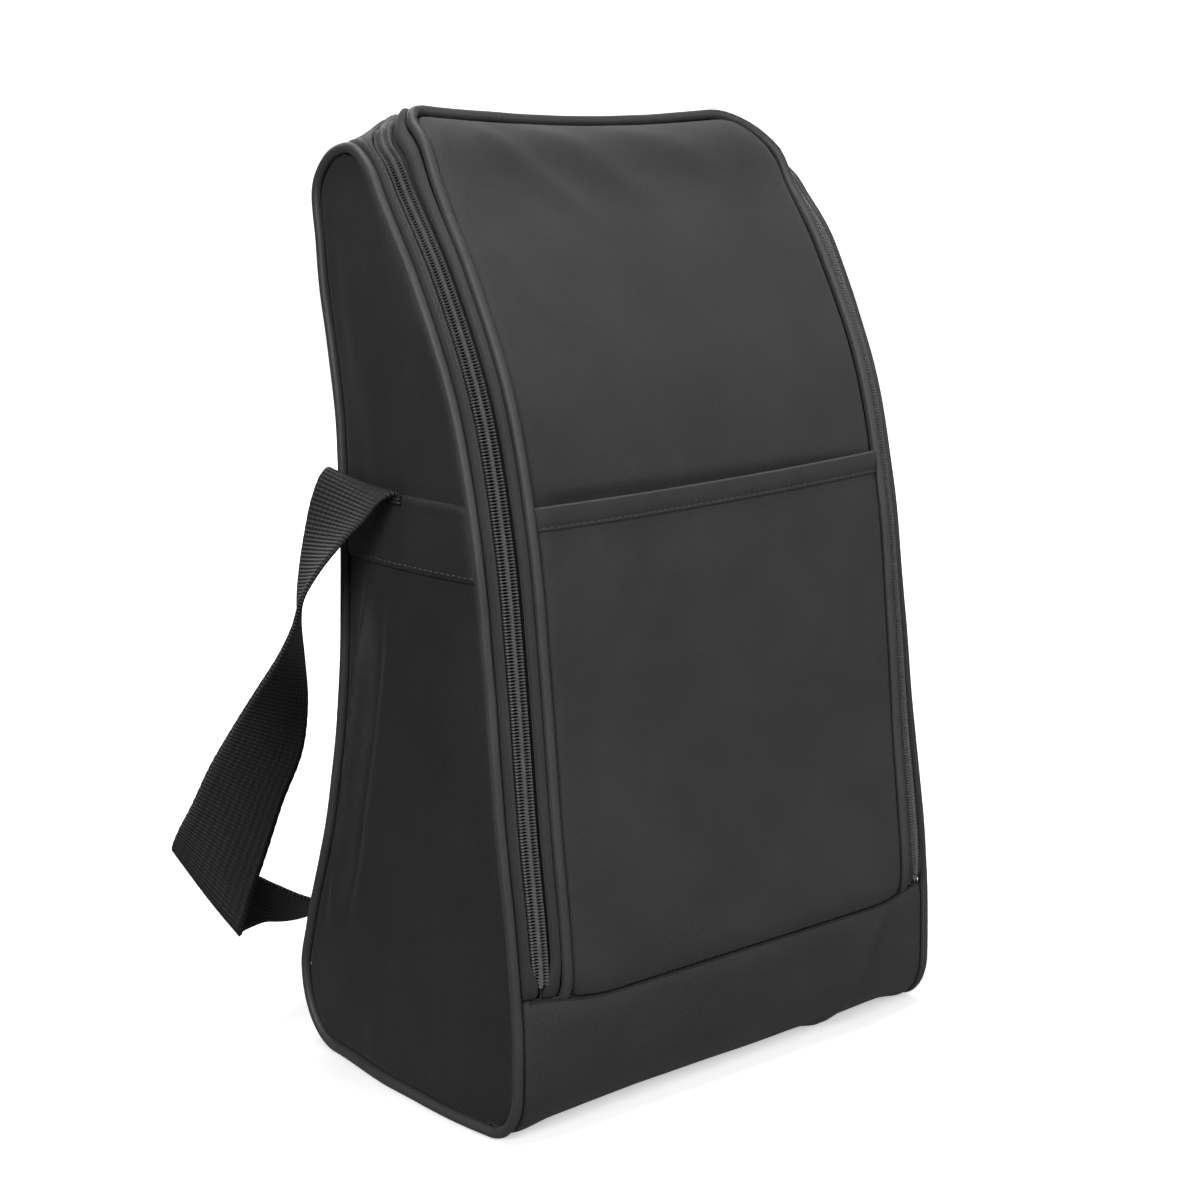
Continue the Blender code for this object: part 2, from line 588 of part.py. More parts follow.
def joined_boxes(name, kind, boxes, frame):
    """One body made of overlapping boxes, each given by two corners in frame."""
    parts = [block(f"{name}_box", kind, low, high) for low, high in boxes]
    for other in parts[1:]:
        union = parts[0].modifiers.new("join", "BOOLEAN")
        union.operation = "UNION"
        union.object = other
    bpy.context.view_layer.update()
    joined = parts[0].evaluated_get(bpy.context.evaluated_depsgraph_get())
    shape = bpy.data.meshes.new_from_object(joined)
    shape.transform(frame @ parts[0].matrix_world)
    if frame.determinant() < 0:
        shape.flip_normals()
    shape.materials.clear()
    for part in parts:
        bpy.data.objects.remove(part)
    return add_object(name, shape, kind)


# ---------------------------------------------------------------- assembly
def main():
    clear_scene()
    collection = bpy.data.collections.new(COLLECTION)
    bpy.context.scene.collection.children.link(collection)
    make_sides()
    make_back_and_base()
    door_pivot = add_pivot("door_hinge", HINGE)
    for piece in make_zip() + make_door():
        hang_on(piece, door_pivot)
    strap_pivot = add_pivot("strap_swing", STRAP_PIVOT)
    hang_on(make_strap(), strap_pivot)
    make_sliders()


main()
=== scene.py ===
"""Looks of the golf shoe bag: padded black cloth, piping, a coil zip, a slip pocket and a webbing strap.

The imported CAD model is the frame: metres, +Z up, the door faces -Y, origin in the middle of the base.
Cloth that wraps round the bag lies on one surface, the wrap: u is the distance across the bag and v
the distance along its outline, up the front, over the top, down the back and under the base.
"""

import math

import bpy
import numpy as np
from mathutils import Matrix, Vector, noise


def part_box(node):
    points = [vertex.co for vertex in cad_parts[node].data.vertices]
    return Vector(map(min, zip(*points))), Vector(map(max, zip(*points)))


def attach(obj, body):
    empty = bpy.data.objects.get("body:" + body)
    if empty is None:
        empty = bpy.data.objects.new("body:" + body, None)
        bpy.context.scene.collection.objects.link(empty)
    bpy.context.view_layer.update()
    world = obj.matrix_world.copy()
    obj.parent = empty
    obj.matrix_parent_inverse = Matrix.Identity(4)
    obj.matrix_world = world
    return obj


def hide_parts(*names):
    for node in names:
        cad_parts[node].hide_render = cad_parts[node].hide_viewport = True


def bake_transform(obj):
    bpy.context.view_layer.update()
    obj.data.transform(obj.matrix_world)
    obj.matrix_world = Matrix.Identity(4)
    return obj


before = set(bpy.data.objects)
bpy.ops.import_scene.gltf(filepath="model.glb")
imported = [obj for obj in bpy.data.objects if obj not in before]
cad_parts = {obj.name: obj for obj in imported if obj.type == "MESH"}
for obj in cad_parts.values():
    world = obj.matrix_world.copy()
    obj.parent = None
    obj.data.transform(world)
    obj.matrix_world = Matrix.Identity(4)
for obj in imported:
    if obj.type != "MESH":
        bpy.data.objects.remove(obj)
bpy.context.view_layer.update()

# ------------------------ sizes, as in the CAD model but with a fuller back and rounder corners
HALF_WIDTH = 0.110
PIPING_RADIUS = 0.002
# the side's outline (y, z), and how far the cloth stands outside it in the middle of the bag
OUTLINE = [(-0.0665, 0.02, 0.0035), (-0.0635, 0.07, 0.0056), (-0.057, 0.116, 0.0068),
           (-0.052, 0.164, 0.0068), (-0.045, 0.216, 0.0070), (-0.032, 0.265, 0.0072),
           (-0.0115, 0.305, 0.0074), (0.007, 0.333, 0.0085), (0.016, 0.346, 0.0100),
           (0.026, 0.3525, 0.0092), (0.0395, 0.3505, 0.0066), (0.0500, 0.3400, 0.0052),
           (0.0497, 0.314, 0.0050), (0.0400, 0.254, 0.0040), (0.0386, 0.209, 0.0040),
           (0.0420, 0.149, 0.0040), (0.0535, 0.092, 0.0034), (0.0685, 0.048, 0.0030),
           (0.0725, 0.031, 0.0025)]
FRONT_CORNER, REAR_CORNER = 0.0145, 0.0225
SEAM_HEIGHT = 0.051         # of the door's sewn lower edge
DOOR_TOP_Y = 0.0205         # of the door's top edge
BACK_SEAM_LENGTH = 0.0225   # from there to the back panel's seam
DOOR_HALF = 0.0895          # from the middle of the bag to the door's piping
CORNER_RADII = (0.010, 0.027)       # of the door's top corners, left and right
EDGE = HALF_WIDTH - 2 * PIPING_RADIUS
SLOPE_WIDTH = 0.018         # the cloth's stand grows over this width beside each side seam
# distances past the door's top edge, and how far the top sags at each
SAG = [(-0.050, 0.0), (-0.020, 0.0022), (0.0, 0.0040), (0.0093, 0.0070), (0.0225, 0.0062), (0.075, 0.0)]
ZIP_MIDDLE = 0.0093         # outside the door's piping
POCKET_TOP = 0.230
HEM_HEIGHT = 0.009
STRIP_BOTTOM, STRIP_TOP = 0.202, 0.2295
STRAP_WIDTH, STRAP_THICKNESS = 0.038, 0.0016

# ------------------------ how the soft bag stands
LEAN = 0.0040               # the right side leans in
SHOULDER = 0.0085           # the right shoulder drops
SPREAD = 0.0044             # the left side's foot spreads out
TUCK, RISE = 0.0026, 0.0015 # the front band's lower edge tucks under and lifts
BELLY = 0.0022              # the front stands out along the bottom seam
SEAM_RISE = 0.0032          # the bottom seam rises towards its ends
RIM_LIFT = 0.0031           # the door's stiff top edge stands above the zip

# ------------------------ cloth
CLOTH, THIN_CLOTH, LINING, TAPE = 0.0012, 0.0010, 0.0005, 0.0007      # thicknesses
SEAM_GAP = 0.0012           # from the middle of the door's piping to the cloth's edge
TAPE_SINK = 0.0022          # the zip tape's face below the wrap surface
WEAVE = 0.0009              # width of two threads of the bag's cloth


# ------------------------ the wrap surface
def smooth_line(points, steps=12):
    """Points along a smooth curve through points, vertical at both ends."""
    first = np.array((points[1][0], 2 * points[0][1] - points[1][1]))
    last = np.array((points[-2][0], 2 * points[-1][1] - points[-2][1]))
    knots = [first, *points, last]
    lengths = [np.linalg.norm(b - a) for a, b in zip(knots, knots[1:])]
    slopes = [((knots[i] - knots[i - 1]) / lengths[i - 1] * lengths[i]
               + (knots[i + 1] - knots[i]) / lengths[i] * lengths[i - 1]) / (lengths[i - 1] + lengths[i])
              for i in range(1, len(knots) - 1)]
    line = []
    for i in range(1, len(knots) - 2):
        for t in np.linspace(0, 1, steps, endpoint=False):
            line.append((2 * t**3 - 3 * t**2 + 1) * knots[i]
                        + (t**3 - 2 * t**2 + t) * lengths[i] * slopes[i - 1]
                        + (3 * t**2 - 2 * t**3) * knots[i + 1] + (t**3 - t**2) * lengths[i] * slopes[i])
    return line


def quarter(centre, reach, height, start, steps=16):
    """A quarter of an ellipse, clockwise from the start angle in degrees."""
    angles = np.radians(np.linspace(start, start - 90, steps, endpoint=False))
    return [np.array((centre[0] + reach * math.cos(a), centre[1] + height * math.sin(a))) for a in angles]


def closed_outline(share):
    """The outline at the sides (share 0) or in the middle of the bag (share 1)."""
    points = np.array([p[:2] for p in OUTLINE])
    along = np.gradient(points, axis=0)
    along[0], along[-1] = (0, 1), (0, -1)
    along /= np.linalg.norm(along, axis=1)[:, None]
    stands = share * np.array([p[2] for p in OUTLINE])[:, None]
    points = points + stands * np.stack([-along[:, 1], along[:, 0]], axis=1)
    rear = (OUTLINE[-1][0] - REAR_CORNER, OUTLINE[-1][1])
    front = (OUTLINE[0][0] + FRONT_CORNER, OUTLINE[0][1])
    line = smooth_line(points)
    line += quarter(rear, points[-1][0] - rear[0], rear[1], 0)
    line += [np.array((y, 0.0)) for y in np.linspace(rear[0], front[0], 40, endpoint=False)]
    line += quarter(front, front[0] - points[0][0], front[1], -90)
    return np.array(line + line[:1])


def outwards(loop):
    """Unit vectors out of a closed loop at its points."""
    along = np.roll(loop[:-1], -1, axis=0) - np.roll(loop[:-1], 1, axis=0)
    along = np.vstack([along, along[:1]])
    along /= np.linalg.norm(along, axis=1)[:, None]
    return np.stack([-along[:, 1], along[:, 0]], axis=1)


SIDE, MIDDLE = closed_outline(0), closed_outline(1)
RUN = np.concatenate([[0], np.cumsum(np.linalg.norm(np.diff(MIDDLE, axis=0), axis=1))])
ROUND = RUN[-1]
SECTION = np.hstack([SIDE, MIDDLE, outwards(SIDE), outwards(MIDDLE)])


def run_where(test):
    """The first v where the middle outline passes the test."""
    return next(RUN[i] for i, (y, z) in enumerate(MIDDLE) if test(y, z))


def run_at_height(height):
    i = next(i for i, (y, z) in enumerate(MIDDLE) if z >= height)
    return float(np.interp(height, MIDDLE[i - 1:i + 1, 1], RUN[i - 1:i + 1]))


V_SEAM = run_at_height(SEAM_HEIGHT)
V_POCKET = run_at_height(POCKET_TOP)
V_TOP = run_where(lambda y, z: y >= DOOR_TOP_Y)
V_BACK = V_TOP + BACK_SEAM_LENGTH
V_REAR = run_where(lambda y, z: y > 0.06 and z <= OUTLINE[-1][1])
V_FRONT = run_where(lambda y, z: y <= OUTLINE[0][0] + FRONT_CORNER + 0.004 and z < 0.0001)


def smooth(t):
    t = np.clip(t, 0, 1)
    return t * t * (3 - 2 * t)


def hump(distance, width):
    """1 where distance is 0, falling smoothly to 0 on both sides."""
    return np.exp(-(distance / width) ** 2)


def edge_dip(distance, length):
    """1 at an edge, falling quickly to 0 away from it."""
    return np.exp(-distance / length)


def crowded(count):
    """Shares from -1 to 1, closer together near both ends."""
    shares = np.linspace(-1, 1, count)
    return np.sign(shares) * (1 - (1 - abs(shares)) ** 1.4)


def lean(p):
    """Moves points as the loaded bag stands: the right side leans in, the foot spreads and tucks under."""
    x, y, z = p[..., 0], p[..., 1], p[..., 2]
    pull = LEAN * smooth((x - 0.086) / 0.022) * (smooth((z - 0.07) / 0.14) - 0.55 * smooth((z - 0.270) / 0.05))
    foot = smooth((0.045 - z) / 0.045)
    spread = SPREAD * foot * smooth((-x - 0.085) / 0.022) * smooth((0.066 - abs(y + 0.012)) / 0.05)
    under = smooth((-0.035 - y) / 0.02) * smooth((0.107 - abs(x)) / 0.020)
    back = TUCK * under * smooth((0.030 - z) / 0.030)
    lift = RISE * under * smooth((0.020 - z) / 0.020)
    shoulder = smooth((z - 0.312) / 0.042)
    drop = SHOULDER * smooth((x - 0.061) / 0.049) * shoulder
    return p + np.stack([-pull - spread, back, lift - drop], -1)


def wrap(u, v, out=0.0):
    """Points at (u, v), moved out from the wrap surface; u, v and out may be arrays."""
    u, v, out = np.broadcast_arrays(np.asarray(u, float), np.asarray(v, float), np.asarray(out, float))
    values = [np.interp(v % ROUND, RUN, SECTION[:, k]) for k in range(8)]
    share = np.clip((EDGE - abs(u)) / SLOPE_WIDTH, 0, 1)
    near_top = smooth((v % ROUND - V_TOP + 0.070) / 0.050) * smooth((V_BACK + 0.050 - v % ROUND) / 0.040)
    share = (1 - near_top) * (1 - (1 - share) ** 1.25) + near_top * share ** 1.6
    y, z, ny, nz = ((1 - share) * values[k] + share * values[k + 2] for k in (0, 1, 4, 5))
    along, depth = zip(*SAG)
    sag = np.interp(v % ROUND - V_TOP, along, depth) * np.clip(1 - (abs(u) / 0.0805) ** 1.8, 0, 1)
    out = out + BELLY * smooth((0.1 - abs(u)) / 0.035) * hump(v % ROUND - V_SEAM, 0.024)
    past = v % ROUND - V_TOP
    rim = np.where(past < 0, smooth((past + 0.050) / 0.040), 1 - smooth(past / 0.0062))
    lift = RIM_LIFT * rim * np.where(u < 0, smooth((0.1005 + u) / 0.013), smooth((0.0985 - u) / 0.035))
    rise = SEAM_RISE * smooth((abs(u) - 0.070) / 0.034) * hump(v % ROUND - V_SEAM, 0.020)
    return lean(np.stack([u, y + out * ny, z + out * nz - sag + lift + rise], -1))


def side_yz(v, depth):
    """Points (y, z) of the side's outline, moved inwards."""
    y, z, ny, nz = (np.interp(v % ROUND, RUN, SECTION[:, k]) for k in (0, 1, 4, 5))
    return y - depth * ny, z - depth * nz


def noise_at(points, scale, seed=0.0):
    """Smooth noise from -1 to 1 at each point."""
    flat = points.reshape(-1, 3) / scale + seed
    return np.array([noise.noise(Vector(p)) for p in flat]).reshape(points.shape[:-1])


# ------------------------ making meshes
def mesh_object(name, vertices, faces, material, uvs=None, sharp=40):
    mesh = bpy.data.meshes.new(name)
    mesh.from_pydata([tuple(v) for v in vertices], [], faces)
    if uvs is not None:
        layer = mesh.uv_layers.new(name="cloth")
        loops = np.array([i for face in faces for i in face])
        layer.data.foreach_set("uv", np.asarray(uvs, np.float32)[loops].ravel())
    mesh.shade_smooth()
    mesh.set_sharp_from_angle(angle=math.radians(sharp))
    mesh.materials.append(material)
    thing = bpy.data.objects.new(name, mesh)
    bpy.context.scene.collection.objects.link(thing)
    return thing


def grid(name, points, material, thickness, uv=None, closed=False):
    """A sheet through points (rows, columns, 3), thickened inwards. uv holds distances in metres."""
    rows, columns = points.shape[:2]
    faces = []
    for r in range(rows if closed else rows - 1):
        for c in range(columns - 1):
            a, b = r * columns + c, (r + 1) % rows * columns + c
            faces.append((a, a + 1, b + 1, b))
    if uv is None:
        down = np.cumsum(np.linalg.norm(np.diff(points, axis=0, prepend=points[:1]), axis=2), axis=0)
        across = np.cumsum(np.linalg.norm(np.diff(points, axis=1, prepend=points[:, :1]), axis=2), axis=1)
        uv = np.stack([across, down], -1)
    thing = mesh_object(name, points.reshape(-1, 3), faces, material, uv.reshape(-1, 2))
    solid = thing.modifiers.new("thickness", "SOLIDIFY")
    solid.thickness = thickness
    solid.offset = -1
    apply_modifiers(thing)
    return thing


def apply_modifiers(thing):
    """Turns the piece's modifiers into its mesh."""
    bpy.context.view_layer.update()
    shape = bpy.data.meshes.new_from_object(thing.evaluated_get(bpy.context.evaluated_depsgraph_get()))
    thing.modifiers.clear()
    thing.data = shape


def tube(name, points, radius, material, closed=False, sides=10):
    """A round tube along points, as a mesh, with distances in metres as its UVs."""
    count = len(points)
    along = np.gradient(points, axis=0)
    if closed:
        along = np.roll(points, -1, axis=0) - np.roll(points, 1, axis=0)
    along /= np.linalg.norm(along, axis=1)[:, None]
    normal = np.cross(along, (0.0, 0.0, 1.0))
    poor = np.linalg.norm(normal, axis=1) < 0.2
    normal[poor] = np.cross(along[poor], (1.0, 0.0, 0.0))
    frames = [normal[0] / np.linalg.norm(normal[0])]
    for t in along[1:]:
        n = frames[-1] - t * (frames[-1] @ t)
        frames.append(n / np.linalg.norm(n))
    normal = np.array(frames)
    side = np.cross(along, normal)
    angles = np.linspace(0, 2 * math.pi, sides, endpoint=False)
    ring = (points[:, None] + radius * (np.cos(angles)[None, :, None] * normal[:, None]
                                        + np.sin(angles)[None, :, None] * side[:, None]))
    run = np.concatenate([[0], np.cumsum(np.linalg.norm(np.diff(points, axis=0), axis=1))])
    uv = np.stack(np.broadcast_arrays(angles[None] * radius, run[:, None]), -1)
    faces = []
    for r in range(count if closed else count - 1):
        for k in range(sides):
            a, b = r * sides, (r + 1) % count * sides
            faces.append((a + k, a + (k + 1) % sides, b + (k + 1) % sides, b + k))
    if not closed:
        faces += [tuple(range(sides))[::-1], tuple(range((count - 1) * sides, count * sides))]
    return mesh_object(name, ring.reshape(-1, 3), faces, material, uv.reshape(-1, 2), sharp=60)


def frames_along(points, normals, pitch, start=0.0):
    """Places every pitch along a line: middle, direction along it and outward direction."""
    run = np.concatenate([[0], np.cumsum(np.linalg.norm(np.diff(points, axis=0), axis=1))])
    at = np.arange(start + pitch / 2, run[-1] - pitch / 2, pitch)

    def at_run(rows, shift=0.0):
        return np.stack([np.interp(at + shift, run, rows[:, k]) for k in range(3)], -1)

    middle, out = at_run(points), at_run(normals)
    along = at_run(points, pitch / 4) - at_run(points, -pitch / 4)
    along /= np.linalg.norm(along, axis=1)[:, None]
    out -= along * np.sum(out * along, axis=1)[:, None]
    out /= np.linalg.norm(out, axis=1)[:, None]
    return middle, along, out


def repeat_shape(name, shape, faces, places, material):
    """Copies a small shape, given as (along, across, out) points, to each place as one mesh."""
    middle, along, out = places
    across = np.cross(out, along)
    shape = np.asarray(shape)
    points = (middle[:, None] + shape[None, :, :1] * along[:, None] + shape[None, :, 1:2] * across[:, None]
              + shape[None, :, 2:] * out[:, None])
    count = len(shape)
    all_faces = [tuple(i + k * count for i in face) for k in range(len(middle)) for face in faces]
    uv = np.tile(shape[:, :2], (len(middle), 1))
    return mesh_object(name, points.reshape(-1, 3), all_faces, material, uv, sharp=50)


def ring_shape(sections):
    """A closed body through rings (along, [(across, out), ...]), with flat ends."""
    shape, faces = [], []
    sides = len(sections[0][1])
    for along, ring in sections:
        shape += [(along, a, o) for a, o in ring]
    for s in range(len(sections) - 1):
        for k in range(sides):
            a, b = s * sides, (s + 1) * sides
            faces.append((a + k, a + (k + 1) % sides, b + (k + 1) % sides, b + k))
    faces += [tuple(range(sides))[::-1], tuple(range(len(shape) - sides, len(shape)))]
    return shape, faces


def stitches(name, points, normals, pitch=0.0030):
    """A line of thread stitches along points, each sunk at its ends."""
    ring = [(math.cos(a) * 0.00032, math.sin(a) * 0.00028) for a in np.radians((0, 60, 120, 180, 240, 300))]
    half = 0.38 * pitch
    sections = [(-half, [(0.5 * a, 0.5 * o - 0.0004) for a, o in ring]), (-0.6 * half, ring),
                (0.6 * half, ring), (half, [(0.5 * a, 0.5 * o - 0.0004) for a, o in ring])]
    shape, faces = ring_shape(sections)
    return repeat_shape(name, shape, faces, frames_along(points, normals, pitch), MATERIALS["thread"])


def surface_normals(u, v, out):
    step = 0.0008
    du = wrap(u + step, v, out) - wrap(u - step, v, out)
    dv = wrap(u, v + step, out) - wrap(u, v - step, out)
    n = np.cross(du, dv)
    return n / np.linalg.norm(n, axis=-1)[..., None]


# ------------------------ materials
def fabric(name, colour, roughness, pitch, depth=0.35, sheen=0.0, variation=0.28, ribs=False):
    """Woven cloth: threads from the UVs in metres, uneven dye and a soft sheen."""
    material = bpy.data.materials.new(name)
    material.use_nodes = True
    nodes, links = material.node_tree.nodes, material.node_tree.links
    shader = nodes["Principled BSDF"]
    shader.inputs["Roughness"].default_value = roughness
    shader.inputs["Sheen Weight"].default_value = sheen
    shader.inputs["Sheen Roughness"].default_value = 0.45
    shader.inputs["Specular IOR Level"].default_value = 0.35
    uv = nodes.new("ShaderNodeUVMap")
    split = nodes.new("ShaderNodeSeparateXYZ")
    links.new(uv.outputs["UV"], split.inputs["Vector"])

    def math_node(operation, a, b=None):
        node = nodes.new("ShaderNodeMath")
        node.operation = operation
        for socket, value in zip(node.inputs, (a, b)):
            if isinstance(value, (int, float)):
                socket.default_value = value
            elif value is not None:
                links.new(value, socket)
        return node.outputs["Value"]

    turns = 2 * math.pi / pitch
    warp_wave = math_node("SINE", math_node("MULTIPLY", split.outputs["X"], turns * (0.5 if ribs else 1)))
    weft_wave = math_node("SINE", math_node("MULTIPLY", split.outputs["Y"], turns))
    if ribs:
        height = math_node("ADD", weft_wave, math_node("MULTIPLY", warp_wave, 0.35))
    else:
        height = math_node("MULTIPLY", warp_wave, weft_wave)
    grain = nodes.new("ShaderNodeTexNoise")
    grain.inputs["Scale"].default_value = 1400
    grain.inputs["Detail"].default_value = 3
    cloud = nodes.new("ShaderNodeTexNoise")
    cloud.inputs["Scale"].default_value = 28
    cloud.inputs["Detail"].default_value = 4
    place = nodes.new("ShaderNodeTexCoord")
    links.new(place.outputs["Object"], grain.inputs["Vector"])
    links.new(place.outputs["Object"], cloud.inputs["Vector"])
    rough = math_node("ADD", height, math_node("MULTIPLY", grain.outputs["Fac"], 1.2))
    bump = nodes.new("ShaderNodeBump")
    bump.inputs["Strength"].default_value = depth
    bump.inputs["Distance"].default_value = 0.00017
    links.new(rough, bump.inputs["Height"])
    links.new(bump.outputs["Normal"], shader.inputs["Normal"])
    ramp = nodes.new("ShaderNodeValToRGB")
    low, high = ramp.color_ramp.elements
    low.position, high.position = 0.3, 0.75
    low.color = (*(c * (1 - variation) for c in colour), 1)
    high.color = (*(c * (1 + variation) for c in colour), 1)
    tone = math_node("ADD", math_node("MULTIPLY", cloud.outputs["Fac"], 0.55),
                     math_node("MULTIPLY", grain.outputs["Fac"], 0.45))
    tone = math_node("ADD", tone, math_node("MULTIPLY", height, 0.05))
    links.new(tone, ramp.inputs["Fac"])
    links.new(ramp.outputs["Color"], shader.inputs["Base Color"])
    return material


def smooth_stuff(name, colour, roughness, metallic=0.0, scale=300):
    """Plastic or painted metal with fine wear and uneven gloss."""
    material = bpy.data.materials.new(name)
    material.use_nodes = True
    nodes, links = material.node_tree.nodes, material.node_tree.links
    shader = nodes["Principled BSDF"]
    shader.inputs["Metallic"].default_value = metallic
    cloud = nodes.new("ShaderNodeTexNoise")
    cloud.inputs["Scale"].default_value = scale
    cloud.inputs["Detail"].default_value = 5
    place = nodes.new("ShaderNodeTexCoord")
    links.new(place.outputs["Object"], cloud.inputs["Vector"])
    ramp = nodes.new("ShaderNodeValToRGB")
    ramp.color_ramp.elements[0].color = (*(c * 0.8 for c in colour), 1)
    ramp.color_ramp.elements[1].color = (*(c * 1.25 for c in colour), 1)
    links.new(cloud.outputs["Fac"], ramp.inputs["Fac"])
    links.new(ramp.outputs["Color"], shader.inputs["Base Color"])
    spread = nodes.new("ShaderNodeMapRange")
    spread.inputs["To Min"].default_value = roughness - 0.08
    spread.inputs["To Max"].default_value = roughness + 0.10
    links.new(cloud.outputs["Fac"], spread.inputs["Value"])
    links.new(spread.outputs["Result"], shader.inputs["Roughness"])
    return material


MATERIALS = {
    "cloth": fabric("black_cloth", (0.031, 0.031, 0.033), 0.60, WEAVE, depth=0.5, sheen=0.12),
    "side": fabric("black_side_cloth", (0.023, 0.023, 0.024), 0.46, WEAVE, depth=0.5, sheen=0.05),
    "pocket": fabric("black_pocket_cloth", (0.032, 0.032, 0.034), 0.60, WEAVE, depth=0.5, sheen=0.12),
    # the piping's colour is lighter than the cloth's: partly painted sheen, standing in for the light along its
    # round crests
    "piping": fabric("black_piping_painted_sheen", (0.050, 0.050, 0.052), 0.40, 0.0007, depth=0.22, sheen=0.08),
    "lining": fabric("black_lining", (0.020, 0.020, 0.022), 0.60, 0.0006, depth=0.2),
    "tape": fabric("black_tape", (0.018, 0.018, 0.019), 0.70, 0.0007, depth=0.5),
    "webbing": fabric("black_webbing", (0.029, 0.029, 0.030), 0.55, 0.0016, depth=1.2, ribs=True),
    "thread": smooth_stuff("black_thread", (0.050, 0.050, 0.053), 0.50),
    # the coil's colour is lifted well above black nylon's: partly painted highlight, standing in for the light
    # on its beads and middle ridge
    "coil": smooth_stuff("black_nylon_painted_highlight", (0.125, 0.125, 0.128), 0.33),
    "metal": smooth_stuff("black_metal", (0.030, 0.030, 0.032), 0.30, metallic=0.85),
}


# ------------------------ the camera, floor and lights
def aim(thing, forward):
    thing.rotation_euler = Vector(forward).to_track_quat("-Z", "Y").to_euler()


def brighten_away(material, glow):
    """The floor glows less near the bag, so that its soft contact shadow shows."""
    nodes, links = material.node_tree.nodes, material.node_tree.links
    place = nodes.new("ShaderNodeTexCoord")
    away = nodes.new("ShaderNodeVectorMath")
    away.operation = "LENGTH"
    links.new(place.outputs["Object"], away.inputs[0])
    glows = nodes.new("ShaderNodeMapRange")
    glows.interpolation_type = "SMOOTHSTEP"
    glows.inputs["From Min"].default_value = 0.15
    glows.inputs["From Max"].default_value = 1.1
    glows.inputs["To Min"].default_value = 0.45
    glows.inputs["To Max"].default_value = glow
    links.new(away.outputs["Value"], glows.inputs["Value"])
    links.new(glows.outputs["Result"], nodes["Principled BSDF"].inputs["Emission Strength"])


def make_stage():
    """The camera, the pale floor and backdrop, four soft lights and a dim white world."""
    camera = bpy.data.objects.new("camera", bpy.data.cameras.new("camera"))
    camera.data.lens = 70
    camera.data.sensor_width = 36
    camera.location = (-0.596, -0.672, 0.364)
    aim(camera, (0.64076, 0.73972, -0.20552))
    bpy.context.scene.collection.objects.link(camera)
    bpy.context.scene.camera = camera
    for name, size, place, turn, glow in (
            ("floor", 160.0, (0, 0, -0.0002), (0, 0, 0), 0.95),
            ("backdrop", 14.0, (2.6, 3.0, 0), (math.radians(90), 0, math.radians(-41)), 1.1)):
        half = size / 2
        mesh = bpy.data.meshes.new(name)
        mesh.from_pydata([(-half, -half, 0), (half, -half, 0), (half, half, 0), (-half, half, 0)], [],
                         [(0, 1, 2, 3)])
        card = bpy.data.objects.new(name, mesh)
        card.location, card.rotation_euler = place, turn
        card.visible_diffuse = False
        card.visible_glossy = False
        material = bpy.data.materials.new(name)
        material.use_nodes = True
        shader = material.node_tree.nodes["Principled BSDF"]
        shader.inputs["Base Color"].default_value = (0.9, 0.9, 0.9, 1)
        shader.inputs["Roughness"].default_value = 0.9
        shader.inputs["Specular IOR Level"].default_value = 0.0
        shader.inputs["Emission Color"].default_value = (1, 1, 1, 1)
        shader.inputs["Emission Strength"].default_value = glow
        if name == "floor":
            brighten_away(material, glow)
        mesh.materials.append(material)
        bpy.context.scene.collection.objects.link(card)
    for name, place, size, power in (
            ("key", (0.5, -1.7, 0.9), 0.9, 12), ("top", (0.0, 0.1, 1.7), 0.9, 17),
            ("rear", (0.5, 1.6, 1.0), 1.2, 12), ("fill", (-1.7, -1.0, 1.1), 0.9, 34)):
        light = bpy.data.objects.new(name, bpy.data.lights.new(name, "AREA"))
        light.data.shape = "SQUARE"
        light.data.size = size
        light.data.energy = power
        light.location = place
        aim(light, Vector((0, 0, 0.18)) - Vector(place))
        bpy.context.scene.collection.objects.link(light)
    world = bpy.data.worlds.new("studio")
    world.use_nodes = True
    world.node_tree.nodes["Background"].inputs["Color"].default_value = (1, 1, 1, 1)
    world.node_tree.nodes["Background"].inputs["Strength"].default_value = 0.12
    bpy.context.scene.world = world
    bpy.context.scene.view_settings.view_transform = "Standard"


def on_bag(piece, slot, *nodes):
    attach(piece, "bag")
    if nodes:
        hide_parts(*nodes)
    return piece


def on_door(piece, slot, *nodes):
    """Bakes a door piece's placement into its mesh and hides the CAD parts it stands for."""
    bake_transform(piece)
    if nodes:
        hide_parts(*nodes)
    return piece


# ------------------------ sides
def side_rows(depth, count=150):
    """Heights and the front and back y of the side's outline, moved inwards by depth."""
    v = np.linspace(0, ROUND, 900)
    y, z = side_yz(v, depth)
    heights = depth + 0.0002 + (z.max() - depth - 0.0004) * smooth(np.linspace(0, 1, count))
    top = v[np.argmax(z)]
    front, back = (v <= top) | (v > V_FRONT + 0.001), (v >= top) & (v < V_FRONT - 0.001)
    ends = []
    for part in (front, back):
        order = np.argsort(z[part])
        ends.append(np.interp(heights, z[part][order], y[part][order]))
    return heights, *ends


